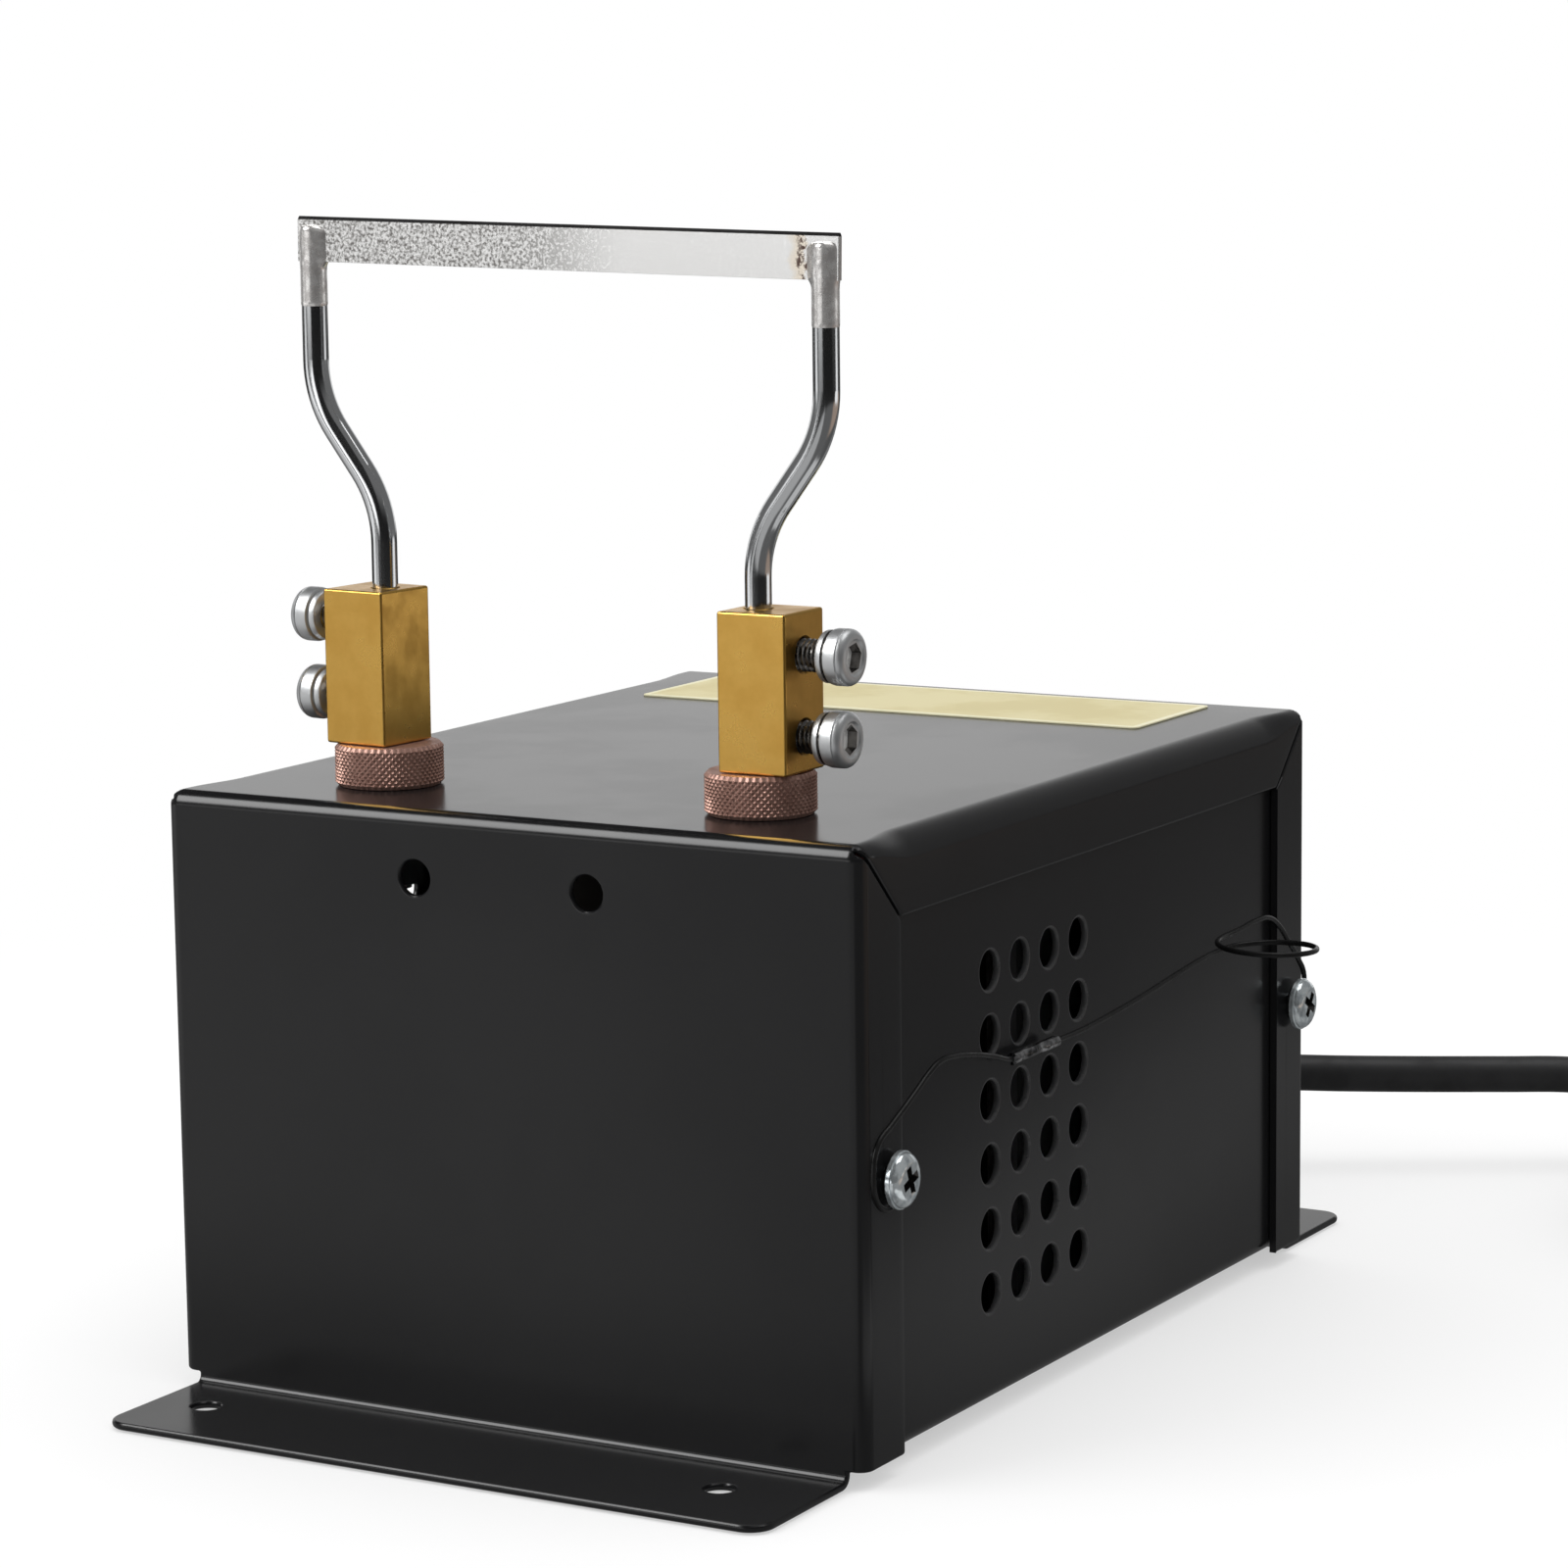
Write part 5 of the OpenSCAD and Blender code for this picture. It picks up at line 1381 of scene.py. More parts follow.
@dataclass
class TieWire:
    """The thin wire between the two case screws of the right side, with its crimped sleeve."""

    wire_d: float = 0.9
    wire_x: float = 62.05
    screw_rows: Pair = (-70.3, 72.9)
    screw_z: float = 45.0
    eye_r: float = 2.75
    loop_r: float = 8.1
    loop_y: float = 43.0
    loop_low: float = 59.4
    loop_rise: float = 2.0
    loop_rings: int = 16
    sleeve_y: float = -33.0
    sleeve_z: float = 55.6
    sleeve_l: float = 15.0
    sleeve_d: float = 1.9
    sleeve_rows: int = 26
    sleeve_lip: float = 0.12
    sleeve_play: float = 0.05
    pinches: Pair = (3.4, 9.6)
    pinch_reach: float = 1.6
    pinch_depth: float = 0.22

    def eye_point(self, row: int, angle: float, radius: float) -> Vector:
        """Gives a point round a screw.

        Args:
            row: 0 for the front screw, 1 for the rear one.
            angle: Angle in degrees.
            radius: Distance from the screw's middle.

        Returns:
            The point.
        """
        turn = math.radians(angle)
        return Vector((self.wire_x, self.screw_rows[row] + radius * math.cos(turn),
                       self.screw_z + radius * math.sin(turn)))

    def route(self) -> list[Vector]:
        """Gives the wire's route from its front eye to its rear eye.

        Returns:
            The points that the wire passes.
        """
        front = [self.eye_point(0, angle, self.eye_r) for angle in range(200, -53, -36)]
        way_out = ((-95, 3.8), (-130, 5), (-165, 6), (-200, 6.8), (-230, 7.8))
        front += [self.eye_point(0, angle, radius) for angle, radius in way_out]
        run = ((-71, 53.2), (-67, 55), (-63, 56.9), (-59.5, 58.6), (-56, 59.7), (-51.5, 59.6),
               (-45, 58.6), (-39, 57.2), (self.sleeve_y, self.sleeve_z),
               (self.sleeve_y + self.sleeve_l, self.sleeve_z),
               (-10, 55.6), (0, 56.1), (12, 57), (24, 58.2), (34, 59.1))
        loop = []
        for ring in range(self.loop_rings + 1):
            turn = math.pi - math.tau * ring / self.loop_rings
            loop.append(Vector((self.wire_x + self.loop_r * (1 + math.cos(turn)),
                                self.loop_y + self.loop_r * math.sin(turn),
                                self.loop_low + self.loop_rise * ring / self.loop_rings)))
        fall = ((50, 61.6), (57, 62), (62, 61.6), (66, 59.6), (70, 56.2), (74, 52.6), (76.6, 49))
        rear = [self.eye_point(1, angle, self.eye_r) for angle in range(10, -279, -36)]
        along = [Vector((self.wire_x, y, z)) for y, z in run]
        down = [Vector((self.wire_x, y, z)) for y, z in fall]
        return front + along + loop + down + rear

    def build_sleeve(self) -> bpy.types.Object:
        """Makes the sleeve, pinched flat in two places.

        Returns:
            The piece.
        """
        outer = self.sleeve_d / 2
        bore = self.wire_d / 2 + self.sleeve_play
        end = self.sleeve_l - self.sleeve_lip
        rows = [self.sleeve_l * row / self.sleeve_rows for row in range(self.sleeve_rows + 1)]
        profile = [(bore, 0.0)] + [(outer, max(self.sleeve_lip, min(row, end))) for row in rows]
        tube = Solid.turned(profile + [(bore, self.sleeve_l)], 24, ring=True)
        for vert in tube.mesh.verts:
            pinch = max(1.0 - abs(vert.co.z - place) / self.pinch_reach for place in self.pinches)
            if pinch > 0.0 and math.hypot(vert.co.x, vert.co.y) > bore + 0.1:
                vert.co.x *= 1.0 - self.pinch_depth * smooth_step(pinch, 0.0, 0.6)
        tube.moved(placed((self.wire_x, self.sleeve_y, self.sleeve_z), -math.pi / 2, "X"))
        return tube.place("crimp_sleeve", "case", SLEEVE_METAL, stands_for=["tie_sleeve"])

    def build(self) -> None:
        route = self.route()
        wire = lay_cord("side_wire", route, self.wire_d)
        wire.visible_glossy = False
        settle(wire, "case", [WIRE_PVC], ["tie_wire"])
        self.build_sleeve()


@dataclass
class Case:
    """The folded case with its label and the screws of its sides."""

    edge: float = 0.5
    short_edge: float = 0.05
    half_depth: float = 78.5
    fold_r: float = 2.4
    roof_fold_r: float = 4.2
    fold_run: Pair = (4.0, 16.0)
    fold_cuts: int = 6
    head_d: float = 8.7
    head_h: float = 2.2
    rim_h: float = 0.9
    ledge: float = 0.22
    flat_share: float = 0.5
    shank_d: float = 4.0
    shank_l: float = 8.6
    shank_chamfer: float = 0.4
    cross_l: float = 5.6
    cross_w: float = 1.5
    cross_depth: float = 1.5
    cross_taper: Point = (0.45, 0.7, 1.0)
    screw_turns: Pair = (20.0, 57.0)
    vent_rows: Pair = (10.0, 90.0)
    vent_reach: float = 65.0
    vent_turn: float = 0.97
    label_corner: float = 1.2
    label_edge: float = 0.08
    label_rim: float = 1.1

    def cross_head(self) -> Solid:
        """Makes a domed screw with a cross recess painted dark as shade, its head on Z 0 and its shank below.

        Returns:
            The screw.
        """
        radius = self.head_d / 2
        height = self.head_h
        rim = self.rim_h
        flat = radius * self.flat_share
        dome = radius - self.ledge - flat
        pan = quarter((flat, rim), (dome, height - rim), 8)
        stem = self.shank_d / 2
        tip = -self.shank_l
        chamfer = self.shank_chamfer
        profile = [(0.0, tip), (stem - chamfer, tip), (stem, tip + chamfer), (stem, 0.0), (radius - 0.2, 0.0),
                   (radius, 0.2), (radius, rim - 0.1), (radius - 0.1, rim)]
        screw = Solid.turned(profile + pan + [(0.0, height)], 48)
        reach = self.cross_l / 2
        for turn in (0.0, math.pi / 2):
            slot = Solid.box((-reach, -self.cross_w / 2, height - self.cross_depth),
                             (reach, self.cross_w / 2, height + 1.0))
            floor = [vert for vert in slot.mesh.verts if vert.co.z < height]
            bmesh.ops.scale(slot.mesh, vec=self.cross_taper, verts=floor)
            screw.carved(slot.moved(Matrix.Rotation(turn, 4, "Z")))
        # The cross recess gets the dark steel, painted shade.
        return screw.marked(1, lambda face, at: at.xy.length < reach and 0.1 < at.z < height - 0.15)

    def widen_roof_folds(self, sheet: Solid) -> None:
        """Gives the roof's long folds a wider radius between the corners.

        Args:
            sheet: The upper sheet.
        """
        high = node_box("upper_shell")[1]
        start, full = self.fold_run
        for cut in range(self.fold_cuts + 1):
            row = self.half_depth - start - (full - start) * cut / self.fold_cuts
            for y in (-row, row):
                geom = [*sheet.mesh.verts, *sheet.mesh.edges, *sheet.mesh.faces]
                bmesh.ops.bisect_plane(sheet.mesh, geom=geom, plane_co=(0.0, y, 0.0),
                                       plane_no=(0.0, 1.0, 0.0))
        for vert in sheet.mesh.verts:
            out = abs(vert.co.x) - (high.x - self.fold_r)
            up = vert.co.z - (high.z - self.fold_r)
            reach = math.hypot(out, up)
            if min(out, up) < -0.01 or reach < 0.1:
                continue
            grown = smooth_step(self.half_depth - abs(vert.co.y), start, full)
            wider = (self.roof_fold_r - self.fold_r) * grown
            vert.co.x -= math.copysign(wider * (1.0 - out / reach), vert.co.x)
            vert.co.z -= wider * (1.0 - up / reach)

    def paint_vent_rim_highlights(self, tray: Solid) -> None:
        """Paints a highlight on the walls and edges of the vents, as a lighter enamel.

        Args:
            tray: The lower sheet.
        """
        wall = node_box("lower_tray")[1].x - self.fold_r
        low, high = self.vent_rows
        tray.mesh.normal_update()
        tray.marked(1, lambda face, at: at.x > wall and abs(at.y) < self.vent_reach and low < at.z < high
                    and abs(face.normal.x) < self.vent_turn)

    def build_sheets(self) -> None:
        """Makes the two folded sheets, with broken edges."""
        shell = Solid.of_node("upper_shell", self.short_edge)
        self.widen_roof_folds(shell)
        shell.bevelled(self.edge, 3, clamp=False)
        shell.place("folded_shell", "case", ENAMEL, stands_for=["upper_shell"], smooth=20.0)
        tray = Solid.of_node("lower_tray", self.short_edge).bevelled(self.edge, 3, clamp=False)
        self.paint_vent_rim_highlights(tray)
        # The vent walls and rims get the lighter enamel, a painted highlight.
        tray.place("vented_tray", "case", ENAMEL, VENT_RIM_HIGHLIGHT, stands_for=["lower_tray"], smooth=20.0)

    def build_label(self) -> None:
        """Makes the bare label with rounded corners."""
        low, high = node_box("label_plate")
        label = Solid.box(low, high)
        label.rounded(label.edges_along(Axis.Z), self.label_corner, 6)
        label.bevelled(self.label_edge, 2)
        field = max(label.mesh.faces, key=lambda face: face.calc_center_median().z + face.calc_area())
        bmesh.ops.inset_region(label.mesh, faces=[field], thickness=self.label_rim, use_even_offset=True)
        label.marked(1, lambda face, at: face is not field)
        label.place("bare_label", "case", LABEL_FILM, LABEL_RIM, stands_for=["label_plate"])

    def build_side_screws(self) -> None:
        """Makes the four screws that hold the sheets together."""
        low, high = node_box("case_screws")
        rows = (low.y + self.head_d / 2, high.y - self.head_d / 2)
        middle = (low.z + high.z) / 2
        screws = Solid()
        for x, way in ((high.x - self.head_h, 1), (low.x + self.head_h, -1)):
            for y, degrees in zip(rows, self.screw_turns):
                twist = Matrix.Rotation(math.radians(degrees), 4, "Z")
                screws.joined(self.cross_head().moved(placed((x, y, middle), way * math.pi / 2, "Y") @ twist))
        screws.place("side_screws", "case", ZINC, PAINTED_SHADE_STEEL, stands_for=["case_screws"])

    def build(self) -> None:
        """Makes every piece of the case."""
        self.build_sheets()
        self.build_label()
        self.build_side_screws()


@dataclass
class Terminal:
    """One terminal: the brass block, its knurled collar and the two clamp screws."""

    side: Side
    block_w: float = 11.6
    block_shift: float = 1.9
    block_edge: float = 0.4
    left_turn: float = 5.4
    leg_bore: float = 4.1
    leg_seat: float = 12.0
    leg_chamfer: Pair = (0.4, 0.4)
    screw_bore: float = 5.1
    screw_chamfer: Pair = (0.35, 0.36)
    stud_play: float = 0.02
    collar_play: float = 0.1
    stud_room: float = 0.05
    knurl_teeth: int = 52
    knurl_steps: int = 6
    knurl_depth: float = 0.38
    collar_chamfer: float = 0.6
    recess_r: float = 6.7
    recess_h: float = 0.7
    stud_d: float = 6.0
    clamp_d: float = 5.0
    clamp_head_d: float = 8.5
    clamp_head_h: float = 5.0
    clamp_round: float = 1.1
    clamp_groove: float = 0.14
    socket_flats: float = 4.0
    socket_depth: float = 1.9
    socket_bevel: float = 0.3
    clamp_ring: float = 1.1
    clamp_turns: Pair = (11.0, 24.0)
    thread_pitch: float = 0.8
    thread_depth: float = 0.42
    levels: tuple[str, str] = ("upper", "lower")

    def seat(self) -> Matrix:
        """Gives the stud's place, with X outwards, as the block is turned on it.

        Returns:
            The place.
        """
        post = node_middle(f"terminal_stud_{self.side.word}")
        turn = 0.0 if self.side is Side.RIGHT else math.pi - math.radians(self.left_turn)
        return placed((post.x, post.y, 0.0), turn)

    def outward(self, reach: float, level: str) -> Matrix:
        """Gives a place on a clamp screw's axis, with Z outwards.

        Args:
            reach: Distance from the stud's axis.
            level: upper or lower, as the nodes spell it.

        Returns:
            The place, seen from the stud.
        """
        height = node_middle(f"clamp_screw_{self.side.word}_{level}").z
        return placed((reach, 0.0, height), math.pi / 2, "Y")

    def drill(self, radius: float, depth: float, chamfer: Pair) -> Solid:
        """Makes a tool for a bore that starts at Z 0 and goes down.

        Args:
            radius: Radius of the bore.
            depth: Its depth.
            chamfer: Depth and width of its chamfer.

        Returns:
            The tool.
        """
        wide = radius + chamfer[1]
        profile = [(0.0, -depth), (radius, -depth), (radius, -chamfer[0]),
                   (wide, 0.01), (wide, 1.0), (0.0, 1.0)]
        return Solid.turned(profile, 40)

    def build_block(self) -> None:
        """Makes the block with its bores."""
        node = f"terminal_block_{self.side.word}"
        low, high = node_box(node)
        stud_top = node_box(f"terminal_stud_{self.side.word}")[1].z
        half = self.block_w / 2
        outer = self.block_shift + half
        block = Solid.box((self.block_shift - half, -half, low.z), (outer, half, high.z))
        block.bevelled(self.block_edge, 3)
        bore = self.drill(self.leg_bore / 2, self.leg_seat, self.leg_chamfer)
        foot = Solid.bar(self.stud_d / 2 + self.stud_play, low.z - 1.0, stud_top + self.stud_room, 40)
        tools = [bore.moved(placed((0.0, 0.0, high.z))), foot]
        for level in self.levels:
            hole = self.drill(self.screw_bore / 2, outer, self.screw_chamfer)
            tools.append(hole.moved(self.outward(outer, level)))
        block.carved(*tools).moved(self.seat())
        block.place(f"brass_block_{self.side.word}", "case", BRASS, stands_for=[node])

    def build_collar(self) -> None:
        """Makes the collar and presses the diamond knurl into it."""
        node = f"collar_nut_{self.side.word}"
        low, high = node_box(node)
        middle = (low + high) / 2
        radius = (high.x - low.x) / 2
        height = high.z - low.z
        row = math.tau * radius / (self.knurl_teeth * self.knurl_steps)
        band = height - 2 * self.collar_chamfer
        rows = round(band / row)
        bore = self.stud_d / 2 + self.collar_play
        profile = [(bore, self.recess_h), (self.recess_r, self.recess_h), (self.recess_r, 0.0),
                   (radius - self.collar_chamfer, 0.0)]
        profile += [(radius, self.collar_chamfer + band * step / rows) for step in range(rows + 1)]
        profile += [(radius - self.collar_chamfer, height), (bore, height)]
        collar = Solid.turned(profile, self.knurl_teeth * self.knurl_steps, ring=True)
        for vert in collar.mesh.verts:
            reach = math.hypot(vert.co.x, vert.co.y)
            if reach < radius - 0.05:
                continue
            turn = math.atan2(vert.co.y, vert.co.x) / math.tau * self.knurl_teeth
            climb = (vert.co.z - self.collar_chamfer) / (row * self.knurl_steps)
            peaks = [abs((turn + way * climb) % 1.0 - 0.5) * 2.0 for way in (-1, 1)]
            press = self.knurl_depth * max(peaks)
            vert.co.xy *= (reach - press) / reach
        collar.moved(placed((middle.x, middle.y, low.z)))
        collar.place(f"knurled_collar_{self.side.word}", f"collar_{self.side.word}", COLLAR_METAL,
                     stands_for=[node], smooth=25.0)

    def clamp_head(self) -> Solid:
        """Makes the head of a clamp screw, from Z 0 up, with a neck ring and a hexagon socket; the neck slit
        and socket walls carry painted shade, the socket floor a painted highlight.

        Returns:
            The head.
        """
        radius = self.clamp_head_d / 2
        height = self.clamp_head_h
        ring = self.clamp_ring
        groove = self.clamp_groove
        neck = radius - 0.3
        slit = radius - 0.65
        shoulder = height - self.clamp_round
        profile = [(0.0, 0.0), (radius - 1.0, 0.0), (radius - 0.45, 0.2), (neck, 0.55), (neck, ring),
                   (slit, ring + 0.1), (slit, ring + 0.35), (radius - 0.12, ring + 0.6),
                   (radius, ring + 1.1), (radius, shoulder - 2 * groove),
                   (radius - groove, shoulder - groove)]
        profile += quarter((radius - self.clamp_round, shoulder), (self.clamp_round, self.clamp_round), 5)
        corner = self.socket_flats / math.sqrt(3)
        mouth = corner + 0.15
        rim = height - self.socket_bevel
        floor = height - self.socket_depth
        profile += [(mouth + 0.35, height), (mouth, rim), (0.0, rim)]
        head = Solid.turned(profile, 48)
        socket = Solid()
        bmesh.ops.create_circle(socket.mesh, cap_ends=True, radius=corner, segments=6)
        socket.extruded(list(socket.mesh.faces), (0.0, 0.0, self.socket_depth + 1.0))
        bmesh.ops.recalc_face_normals(socket.mesh, faces=socket.mesh.faces)
        head.carved(socket.moved(placed((0.0, 0.0, floor))))
        inner = mouth - 0.1
        outer = radius - 0.7
        # The neck slit and the socket walls get the dark steel, painted shade.
        head.marked(1, lambda face, at: at.xy.length > outer and ring + 0.05 < at.z < ring + 0.4)
        head.marked(1, lambda face, at: at.xy.length < inner and floor < at.z < rim - 0.01)
        # The socket floor gets the pale finish, a painted highlight.
        return head.marked(2, lambda face, at: at.xy.length < inner and abs(at.z - floor) < 0.05)

    def build_clamp(self, level: str, degrees: float) -> None:
        """Makes one socket-head clamp screw.

        Args:
            level: upper or lower, as the nodes spell it.
            degrees: How far the screw is turned.
        """
        low, high = node_box(f"clamp_screw_right_{level}")
        under = high.x - node_middle("terminal_stud_right").x - self.clamp_head_h
        length = high.x - low.x - self.clamp_head_h
        screw = self.clamp_head()
        rod = Solid.threaded(self.clamp_d / 2, self.thread_depth, self.thread_pitch, length + 0.2)
        # The thread gets the dark steel, painted shade between its turns.
        screw.joined(rod.marked(1, lambda face, at: True).moved(placed((0.0, 0.0, -length))))
        twist = Matrix.Rotation(math.radians(degrees), 4, "Z")
        screw.moved(self.seat() @ self.outward(under, level) @ twist)
        name = f"{self.side.word}_{level}"
        screw.place(f"socket_screw_{name}", f"clamp_{name}", SCREW_STEEL, PAINTED_SHADE_STEEL, SOCKET_HIGHLIGHT,
                    stands_for=[f"clamp_screw_{name}"])

    def build(self) -> None:
        """Makes every piece of the terminal."""
        self.build_block()
        self.build_collar()
        for level, degrees in zip(self.levels, self.clamp_turns):
            self.build_clamp(level, degrees)


@dataclass
class BladeUnit:
    """The blade strip and the two cranked legs that it is soldered to."""

    strip_l: float = 95.4
    strip_h: float = 6.9
    slope: float = 1.0
    strip_edge: float = 0.06
    ground_h: float = 0.5
    edge_t: float = 0.2
    leg_d: float = 4.0
    leg_edge: float = 0.35
    leg_drop: float = 1.7
    bend_r: float = 18.0
    bend_angle: float = 37.0
    bend_steps: int = 10
    stem_top: float = 132.677
    head_foot: float = 160.515
    left_lift: float = 2.5
    solder_reach: float = 12.0
    solder_rows: int = 36
    solder_skin: float = 0.07
    solder_foot: Pair = (-1.2, 0.6)
    solder_top: Pair = (0.45, -0.8)
    fillet_in: float = 0.9
    fillet_out: float = 0.3
    fillet_w: float = 0.45
    lump_h: float = 0.1
    lump_scale: Point = (0.8, 0.8, 0.56)

    def build_strip(self) -> None:
        """Makes the strip with its ground upper edge."""
        low, high = node_box("blade")
        top = self.strip_h / 2
        strip = Solid.box((-self.strip_l / 2, low.y, -top), (self.strip_l / 2, high.y, top - self.ground_h))
        flat = [face for face in strip.mesh.faces if face.normal.z > 0.9]
        crest = strip.extruded(flat, (0.0, 0.0, self.ground_h))[0]
        middle = placed((0.0, -(low.y + high.y) / 2, 0.0))
        bmesh.ops.scale(strip.mesh, vec=(1.0, self.edge_t / (high.y - low.y), 1.0), space=middle, verts=crest)
        strip.mended().bevelled(self.strip_edge, 2, 20.0)
        strip.marked(1, lambda face, at: at.z > top - self.ground_h + 0.05)
        strip.moved(placed((0.0, 0.0, (low.z + high.z) / 2), math.radians(self.slope), "Y"))
        strip.place("cutting_strip", "blade_unit", BLADE_STRIP, BLADE_EDGE, stands_for=["blade"], smooth=15.0)

    def bend(self, leg: Solid, tip: list[Any], centre: Vector, angle: float) -> list[Any]:
        """Bends the tip of a leg about an axis along Y.

        Args:
            leg: The leg in the making.
            tip: The face at its end.
            centre: A point on the axis.
            angle: The turn in radians.

        Returns:
            The new face at its end.
        """
        geom = tip + list(tip[0].edges) + list(tip[0].verts)
        turned = bmesh.ops.spin(leg.mesh, geom=geom, cent=centre, axis=(0.0, 1.0, 0.0), angle=angle,
                                steps=self.bend_steps, use_merge=False, use_duplicate=False)["geom_last"]
        return [item for item in turned if isinstance(item, bmesh.types.BMFace)]

    def build_leg(self, side: Side) -> None:
        """Makes one leg: stem, crank and head.

        Args:
            side: The leg's side.
        """
        node = f"blade_leg_{side.word}"
        low, high = node_box(node)
        sign = side.value
        post = node_middle(f"terminal_stud_{side.word}")
        head_x = (high.x if side is Side.RIGHT else low.x) - sign * self.leg_d / 2
        drop = self.left_lift if side is Side.RIGHT else 0.0
        stem_top = self.stem_top - drop
        head_foot = self.head_foot - drop
        leg = Solid()
        base = placed((post.x, post.y, low.z))
        bmesh.ops.create_circle(leg.mesh, cap_ends=True, radius=self.leg_d / 2, segments=28, matrix=base)
        tip = leg.extruded(list(leg.mesh.faces), (0.0, 0.0, stem_top - low.z))[1]
        turn = math.radians(self.bend_angle)
        first = Vector((post.x + sign * self.bend_r, post.y, stem_top))
        second = Vector((head_x - sign * self.bend_r, post.y, head_foot))
        tip = self.bend(leg, tip, first, sign * turn)
        rise = head_foot - stem_top - 2 * self.bend_r * math.sin(turn)
        tip = leg.extruded(tip, (sign * rise * math.tan(turn), 0.0, rise))[1]
        tip = self.bend(leg, tip, second, -sign * turn)
        leg.extruded(tip, (0.0, 0.0, high.z - head_foot))
        leg.mended().bevelled(self.leg_edge, 3, 60.0)
        leg.place(f"cranked_leg_{side.word}", "blade_unit", LEG_CHROME, stands_for=[node])
        self.build_solder(side, Vector((head_x, post.y, high.z)))

    def build_solder(self, side: Side, top: Vector) -> None:
        """Makes the solder round a leg's head, drawn out along the strip.

        Args:
            side: The leg's side.
            top: The middle of the leg's end.
        """
        foot = [self.leg_drop - self.strip_h + way for way in self.solder_foot]
        radius = self.leg_d / 2
        profile = [(0.0, -self.solder_reach), (radius, -self.solder_reach)]
        for row in range(1, self.solder_rows):
            profile.append((radius + self.solder_skin, -self.solder_reach * (1 - row / self.solder_rows)))
        profile += [(radius - 0.1, 0.18), (radius - 0.6, 0.34), (0.0, 0.4)]
        solder = Solid.turned(profile, 48)
        for vert in solder.mesh.verts:
            reach = math.hypot(vert.co.x, vert.co.y)
            if reach < radius * 0.5:
                continue
            along = vert.co.x / reach
            across = vert.co.y / reach
            draw = self.fillet_out if along * side.value > 0 else self.fillet_in
            level = smooth_step(vert.co.z, *foot) * smooth_step(vert.co.z, *self.solder_top)
            lump = noise.noise(vert.co * Vector(self.lump_scale) + top)
            drawn = draw * math.exp(-(across / self.fillet_w) ** 2)
            push = (drawn + self.lump_h * max(lump, 0.0)) * level
            vert.co.xy *= (reach + push) / reach
        solder.moved(placed(top))
        solder.place(f"solder_{side.word}", "blade_unit", SOLDER, smooth=60.0)

    def build(self) -> None:
        """Makes every piece of the blade unit."""
        self.build_strip()
        for side in Side:
            self.build_leg(side)


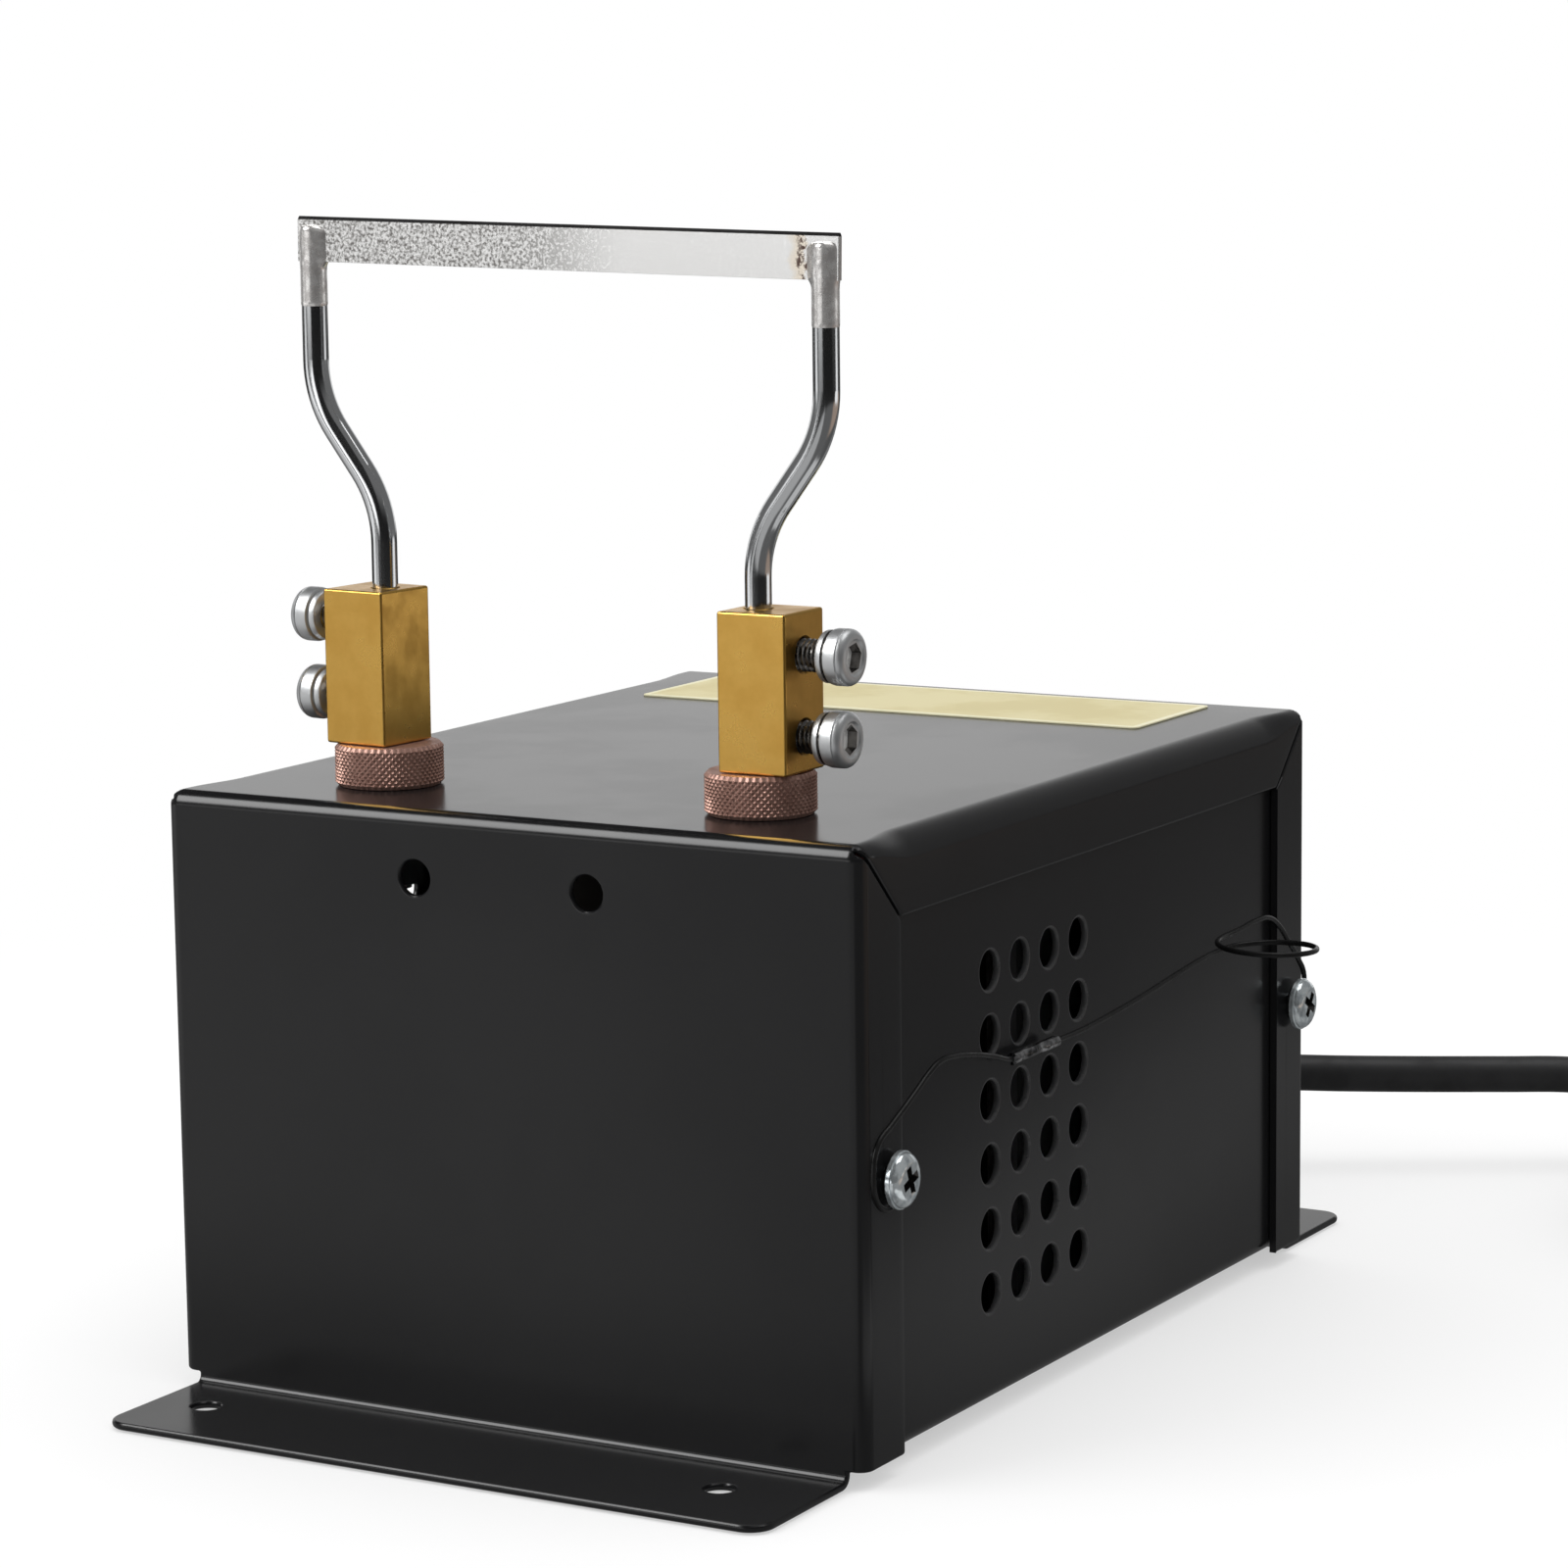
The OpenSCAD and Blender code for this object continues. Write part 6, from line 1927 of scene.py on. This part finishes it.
@dataclass
class RearPanel:
    """What sits on the rear panel: the rocker switch and the strain relief."""

    soft_edge: float = 0.35
    switch_proud: float = 2.0
    flange_d: float = 15.0
    flange_t: float = 3.0
    neck_d: float = 12.0
    tip_d: float = 9.0
    bore_d: float = 6.9
    flex_rings: int = 5

    def build_switch(self) -> None:
        """Makes the switch housing and the rocker, with softened edges."""
        housing = Solid.of_node("switch_housing").bevelled(self.soft_edge, 3)
        housing.place("switch_frame", "case", SWITCH_NYLON, stands_for=["switch_housing"], smooth=25.0)
        rocker = Solid.of_node("switch_rocker").bevelled(self.soft_edge, 3)
        rocker.place("switch_paddle", "rocker", SWITCH_NYLON, stands_for=["switch_rocker"], smooth=25.0)

    def build_relief(self) -> None:
        """Makes the strain relief with its flexing rings."""
        low, high = node_box("cord_grip")
        middle = (low + high) / 2
        bore = self.bore_d / 2
        wide = self.flange_d / 2
        neck = self.neck_d / 2
        sheet_in = self.flange_t
        length = high.y - low.y
        rear_y = node_box("switch_housing")[1].y - self.switch_proud
        out = rear_y - low.y
        foot = out + self.flange_t
        profile = [(bore, 0.0), (wide - 0.5, 0.0), (wide, 0.5), (wide, sheet_in - 0.3),
                   (wide - 0.3, sheet_in), (neck, sheet_in), (neck, out), (wide - 0.3, out),
                   (wide, out + 0.3), (wide, foot - 0.9), (wide - 0.9, foot)]
        ring = (length - foot) / self.flex_rings
        for number in range(self.flex_rings):
            start = foot + ring * number
            radius = neck + (self.tip_d / 2 - neck) * (start - foot) / (length - foot)
            profile += [(radius - 0.9, start + 0.15), (radius - 0.9, start + ring * 0.3),
                        (radius - 0.15, start + ring * 0.36), (radius - 0.45, start + ring * 0.94)]
        profile += [(self.tip_d / 2 - 0.5, length), (bore, length)]
        relief = Solid.turned(profile, 40, ring=True)
        relief.moved(placed((middle.x, low.y, middle.z), -math.pi / 2, "X"))
        relief.place("strain_relief", "case", CORD_PVC, stands_for=["cord_grip"])

    def build(self) -> None:
        """Makes every piece of the rear panel."""
        self.build_switch()
        self.build_relief()


@dataclass
class Inside:
    """What the case hides: the transformer, the studs and the wiring."""

    soft_edge: float = 0.15

    def dress(self) -> None:
        """Gives the hidden nodes their finishes."""
        finishes = {
            ZINC: ("case_nuts", "terminal_stud_left", "terminal_stud_right", "stud_washers", "stud_nuts",
                   "bracket_screws", "bracket_nuts", "earth_screw", "earth_nut"),
            INSULATOR: ("insulating_bushes", "insulating_washers"),
            CORE_IRON: ("core_e_stack", "core_i_stack"),
            BOBBIN: ("coil_bobbin",),
            BRACKET_STEEL: ("transformer_bracket",),
            CONTACT_BRASS: ("lead_lugs", "switch_tabs", "earth_lug"),
        }
        for finish, nodes in finishes.items():
            for node in nodes:
                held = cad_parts[node].data.materials
                held.clear()
                held.append(finish.material())
                LOG.info("%s dressed as %s", node, finish.name)

    def build_wiring(self) -> None:
        """Makes the windings, leads and wires with rounded surfaces."""
        finishes = {
            "primary_winding": TAPE,
            "secondary_winding": WOUND_COPPER,
            "secondary_lead_left": LEAD_SLEEVE,
            "secondary_lead_right": LEAD_SLEEVE,
            "cord_inner_end": CORD_PVC,
            "line_wire": WIRE_BROWN,
            "switch_wire": WIRE_BROWN,
            "neutral_wire": WIRE_BLUE,
            "earth_wire": WIRE_GREEN,
        }
        for node, finish in finishes.items():
            wire = Solid.of_node(node).bevelled(self.soft_edge, 2, 60.0)
            wire.place(f"inner_{node}", "case", finish, stands_for=[node], smooth=50.0)

    def build(self) -> None:
        """Dresses the nodes and makes the wiring."""
        self.dress()
        self.build_wiring()


def main() -> None:
    """Builds the scene, sub-assembly by sub-assembly."""
    logging.basicConfig(level=logging.INFO, format="%(name)s: %(message)s")
    parts = [Viewpoint(), MainsLead(), TieWire(), Studio(), Case(), Terminal(Side.LEFT), Terminal(Side.RIGHT),
             BladeUnit(), RearPanel(), Inside()]
    for part in parts:
        LOG.info("building %s", type(part).__name__)
        part.build()


if __name__ == "__main__":
    main()
